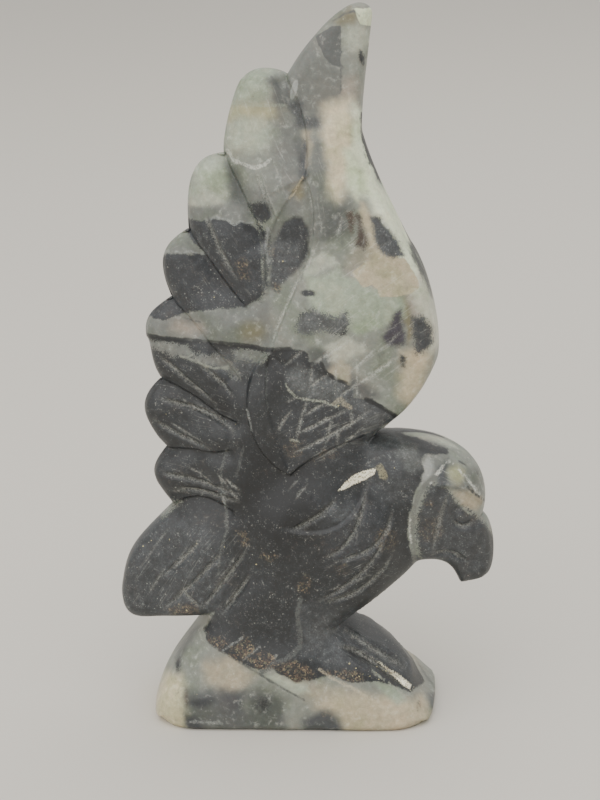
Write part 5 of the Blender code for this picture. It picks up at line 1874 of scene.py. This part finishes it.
@dataclass(frozen=True)
class PolishedBandedStone:
    """Soft carving stone of calcite and black serpentine with iron sulphide, ground and hand-polished.

    It gives the eye a low wet-looking gloss over clouded pale stone and black stone that
    meet in jagged borders, brassy specks in the black, and grooves that are dull and
    powdery because no polish reaches into them. Pattern sizes are in millimetres.
    """

    jag_mm: float = 2.4
    cloud_mm: float = 11.0
    mottle_mm: float = 1.7
    grain_mm: float = 0.45
    fleck_mm: float = 0.9
    rust_grain_mm: float = 0.42
    scratch_mm: tuple[float, float] = (7.0, 0.45)
    noise_detail: float = 5.0
    noise_roughness: float = 0.62
    distortion: float = 0.3
    relief_mm: float = 0.12
    relief_strength: float = 0.8
    dull: float = 0.66
    ior: float = 1.56
    glow: float = 0.05
    glow_mm: float = 1.2

    def noises(self, tree: bpy.types.NodeTree, where: Any) -> dict[str, Any]:
        """The noises and grains that every pattern of the stone is made from.

        Args:
            tree: The material's node tree.
            where: Object coordinates in millimetres.

        Returns:
            Name to a node's output.
        """
        sizes = {"jag": self.jag_mm, "cloud": self.cloud_mm, "mottle": self.mottle_mm, "grain": self.grain_mm}
        made = {}
        for name, size in sizes.items():
            made[name] = add(tree, "ShaderNodeTexNoise", {
                "Vector": where, "Scale": 1.0 / size, "Detail": self.noise_detail,
                "Roughness": self.noise_roughness, "Distortion": self.distortion,
            }).outputs["Fac"]
        lay = add(tree, "ShaderNodeAttribute", attribute_name="lay").outputs["Vector"]
        pace = (1.0 / self.scratch_mm[0], 1.0 / self.scratch_mm[1], 1.0)
        drawn = add(tree, "ShaderNodeVectorMath", {0: lay, 1: pace}, operation="MULTIPLY")
        made["lines"] = add(tree, "ShaderNodeTexNoise", {"Vector": drawn, "Scale": 1.0, "Detail": 2.0})
        flecks, rust = (
            add(tree, "ShaderNodeTexVoronoi", {"Vector": where, "Scale": 1.0 / size}).outputs
            for size in (self.fleck_mm, self.rust_grain_mm)
        )
        chances = add(tree, "ShaderNodeSeparateColor", {0: flecks["Color"]}).outputs
        made |= {f"fleck_chance_{name}": chance for name, chance in zip("abc", chances)}
        made["fleck_gap"] = flecks["Distance"]
        chance = add(tree, "ShaderNodeSeparateColor", {0: rust["Color"]})
        made["rust"] = add(tree, "ShaderNodeValToRGB", {0: chance}).outputs["Color"]
        ramp = made["rust"].node.color_ramp
        ramp.interpolation = "CONSTANT"
        while len(ramp.elements) < len(RUST_STOPS):
            ramp.elements.new(0.5)
        for element, (start, tone) in zip(ramp.elements, RUST_STOPS):
            element.position = start
            element.color = tone.light
        return made

    def made(self, tree: bpy.types.NodeTree, recipe: Any, signals: dict[str, Any]) -> bpy.types.Node:
        """One new signal.

        Args:
            tree: The material's node tree.
            recipe: A swing, a border or a step.
            signals: Name to signal, for all signals so far.

        Returns:
            The node that holds it.
        """
        if isinstance(recipe, Step):
            parts = {number: signals.get(part, part) for number, part in enumerate(recipe.parts)}
            return add(tree, "ShaderNodeMath", parts, operation=recipe.operation)
        if isinstance(recipe, Border):
            start = add(
                tree, "ShaderNodeMath", {0: signals[recipe.field], 1: -0.5 * recipe.reach}, operation="ADD",
            )
            moved = add(
                tree, "ShaderNodeMath", {0: signals[recipe.signal], 1: recipe.reach, 2: start},
                operation="MULTIPLY_ADD",
            )
            signals = {"moved": moved}
            recipe = Swing("moved", -recipe.soft, recipe.soft, 0.0, 1.0, "SMOOTHSTEP")
        return add(
            tree, "ShaderNodeMapRange",
            {0: signals[recipe.source], 1: recipe.low, 2: recipe.high, 3: recipe.least, 4: recipe.most},
            interpolation_type=recipe.kind,
        )

    def layered(
        self, tree: bpy.types.NodeTree, ground: str, layers: tuple[Layer, ...], signals: dict[str, Any],
    ) -> Any:
        """A colour with tones laid over it.

        Args:
            tree: The material's node tree.
            ground: Name of the signal that holds the colour below.
            layers: The tones, each laid over those before it.
            signals: Name to signal.

        Returns:
            The colour that shows.
        """
        colour = signals[ground]
        for layer in layers:
            shares = [signals[name] for name in layer.signals] or [1.0]
            share = shares[0]
            for factor in shares[1:]:
                share = add(tree, "ShaderNodeMath", {0: share, 1: factor}, operation="MULTIPLY")
            tone = layer.tone.light if isinstance(layer.tone, Tone) else signals[layer.tone]
            colour = add(
                tree, "ShaderNodeMix", {0: share, 6: colour, 7: tone},
                data_type="RGBA", blend_type=layer.blend,
            ).outputs[2]
        return colour

    def material(self) -> bpy.types.Material:
        """Build the finish as a node material."""
        material = bpy.data.materials.new("polished_banded_stone")
        material.use_nodes = True
        tree = material.node_tree
        tree.nodes.clear()
        place = add(tree, "ShaderNodeTexCoord").outputs["Object"]
        where = add(tree, "ShaderNodeVectorMath", {0: place, "Scale": 1.0 / MM}, operation="SCALE")
        signals = self.noises(tree, where)
        fields = (
            "dark", "fuzz", "pepper", "inlay", "vein", "crack", "oxide", "oxide_share", "pyrite", "salt",
            "brass", "scratched", "powder",
        )
        for name in fields:
            signals[name] = add(tree, "ShaderNodeAttribute", attribute_name=name).outputs["Fac"]
        for name in ("pale", "dark", "inlay", "vein", "crack"):
            colour = add(tree, "ShaderNodeAttribute", attribute_name=f"{name}_tone").outputs
            signals[f"{name}_tone"] = colour["Color"]
            signals[f"{name}_cover"] = colour["Alpha"]
        for name, recipe in RECIPES.items():
            signals[name] = self.made(tree, recipe, signals)
        signals["black"] = self.layered(tree, "dark_tone", BLACK_LAYERS, signals)
        signals["pale"] = self.layered(tree, "pale_tone", PALE_LAYERS, signals)
        stone = self.layered(tree, "pale", STONE_LAYERS, signals)
        gloss = {0: signals["matt"], 2: signals["polish"], 3: self.dull}
        rough = add(tree, "ShaderNodeMix", gloss, data_type="FLOAT")
        bump = add(tree, "ShaderNodeBump", {
            "Height": signals["height"], "Distance": self.relief_mm * MM, "Strength": self.relief_strength,
        })
        shader = add(tree, "ShaderNodeBsdfPrincipled", {
            "Base Color": stone, "Roughness": rough, "Metallic": signals["shine"], "Normal": bump,
            "IOR": self.ior, "Subsurface Weight": self.glow, "Subsurface Scale": self.glow_mm * MM,
        })
        add(tree, "ShaderNodeOutputMaterial", {"Surface": shader})
        return material


@dataclass(frozen=True)
class Mark:
    """One kind of tool mark: its width and depth, and how much powder it holds, up to 1."""

    width: float
    depth: float
    powder: float


@dataclass
class EagleCarving:
    """The whole carving: its fine mesh, its tool marks and its finish."""

    camera: PhotoCamera
    form: SlabForm
    finish: PolishedBandedStone
    grooves: Mark = Mark(width=0.00125, depth=0.00024, powder=0.62)
    hatching: Mark = Mark(width=0.00080, depth=0.00042, powder=1.0)
    scrapes: Mark = Mark(width=0.00070, depth=0.00022, powder=0.75)
    break_length: float = 0.0016
    facet: float = 0.009
    unevenness: float = 0.0002
    floor_margin: float = 0.004
    seed: int = 7

    def build(self) -> None:
        """Make the carving as one plain mesh with its pattern and finish, riding on the part's body."""
        strokes = ToolStrokes(self.camera, self.form)
        near_cuts = [line for line, _, _ in self.form.cut_lines(plain=False)]
        far_cuts = [line for line, _, _ in self.form.cut_lines(plain=True)]
        hatch = strokes.on_near_face(WING_HATCH)
        scrapes = strokes.on_near_face(FEATHER_STROKES)
        mirrored = [(points * (1.0, -1.0, 1.0), press) for points, press in hatch[::2]]
        steps = [line for line, _, _ in self.form.overlap_lines()]
        laid = [points[:, [0, 2]] for points, _ in hatch + scrapes]
        piece = FineMesh(self.form).build("eagle_stone", near_cuts + steps + laid, far_cuts + steps)
        engraved = strokes.on_face(near_cuts, plain=False) + strokes.on_face(far_cuts, plain=True)
        guides = [
            strokes.guide("groove_lines", engraved),
            strokes.guide("hatch_lines", hatch + mirrored),
            strokes.guide("scrape_lines", scrapes),
        ]
        material = self.finish.material()
        polish = {"Facet": self.facet, "Height": self.unevenness, "Floor Margin": self.floor_margin}
        attach(piece, HandPolish().tree(), polish | {"Seed": self.seed, "Finish": material})
        tree = strokes.tree()
        marks = (self.grooves, self.hatching, self.scrapes)
        for number, (guide, mark) in enumerate(zip(guides, marks)):
            attach(piece, tree, {
                "Strokes": guide, "Width": mark.width, "Depth": mark.depth, "Powder": mark.powder,
                "Break Length": self.break_length, "Seed": self.seed + number, "Finish": material,
            })
        settle(piece)
        for guide in guides:
            curve = guide.data
            bpy.data.objects.remove(guide, do_unlink=True)
            bpy.data.curves.remove(curve)
        self.keep_in_box(piece.data)
        StonePattern(self.camera).write(piece.data)
        piece.data.shade_smooth()
        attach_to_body(piece, "root")
        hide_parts(NODE)
        LOG.info("%s: %d vertices, %d faces", piece.name, len(piece.data.vertices), len(piece.data.polygons))

    def keep_in_box(self, mesh: bpy.types.Mesh) -> None:
        """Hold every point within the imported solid's box."""
        low, high = (np.array(corner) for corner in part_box(NODE))
        flat = np.empty(len(mesh.vertices) * 3, dtype=np.float32)
        mesh.vertices.foreach_get("co", flat)
        held = np.clip(flat.reshape(-1, 3), low, high)
        mesh.vertices.foreach_set("co", held.astype(np.float32).ravel())
        mesh.update()


@dataclass(frozen=True)
class Lamp:
    """A square soft light that looks at the carving."""

    name: str
    place: tuple[float, float, float]
    size: float
    watts: float
    colour: str


@dataclass
class Studio:
    """A plain pale floor and plain soft light."""

    floor_reach: float = 6.0
    floor_colour: str = "d8d4cc"
    floor_roughness: float = 0.75
    sky_colour: str = "e8e6e1"
    sky_strength: float = 1.0
    aim: tuple[float, float, float] = (0.0, 0.0, 0.09)
    lamps: tuple[Lamp, ...] = (
        Lamp("window_light", (-0.45, -0.75, 0.95), 2.2, 15.4, "fffcf8"),
        Lamp("ceiling_light", (0.30, 0.10, 1.10), 2.0, 8.8, "fffefb"),
    )

    def floor(self) -> None:
        """A wide plain floor in painted board."""
        material = bpy.data.materials.new("matt_painted_board")
        material.use_nodes = True
        tree = material.node_tree
        tree.nodes.clear()
        shader = add(tree, "ShaderNodeBsdfPrincipled", {
            "Base Color": linear(self.floor_colour), "Roughness": self.floor_roughness,
        })
        add(tree, "ShaderNodeOutputMaterial", {"Surface": shader})
        reach = self.floor_reach
        corners = [(-reach, -reach, 0.0), (reach, -reach, 0.0), (reach, reach, 0.0), (-reach, reach, 0.0)]
        mesh = bpy.data.meshes.new("studio_floor")
        mesh.from_pydata(corners, [], [(0, 1, 2, 3)])
        mesh.materials.append(material)
        board = bpy.data.objects.new("studio_floor", mesh)
        bpy.context.scene.collection.objects.link(board)

    def sky(self) -> None:
        """Even light from all round."""
        world = bpy.data.worlds.new("studio_sky")
        world.use_nodes = True
        tree = world.node_tree
        tree.nodes.clear()
        light = add(tree, "ShaderNodeBackground", {
            "Color": linear(self.sky_colour), "Strength": self.sky_strength,
        })
        add(tree, "ShaderNodeOutputWorld", {"Surface": light})
        bpy.context.scene.world = world

    def build(self) -> None:
        """Make the floor, the sky and the lamps."""
        self.floor()
        self.sky()
        for lamp in self.lamps:
            data = bpy.data.lights.new(lamp.name, "AREA")
            data.size = lamp.size
            data.energy = lamp.watts
            data.color = linear(lamp.colour)[:3]
            light = bpy.data.objects.new(lamp.name, data)
            gaze = Vector(self.aim) - Vector(lamp.place)
            turn = gaze.to_track_quat("-Z", "Y").to_matrix().to_4x4()
            light.matrix_world = Matrix.Translation(lamp.place) @ turn
            bpy.context.scene.collection.objects.link(light)
        LOG.info("studio: floor, sky and %d lamps", len(self.lamps))


def main() -> None:
    """Build the camera, the carving and the studio."""
    logging.basicConfig(level=logging.INFO, format="%(name)s %(message)s")
    camera = PhotoCamera()
    camera.build()
    EagleCarving(camera, SlabForm(), PolishedBandedStone()).build()
    Studio().build()


if __name__ == "__main__":
    main()
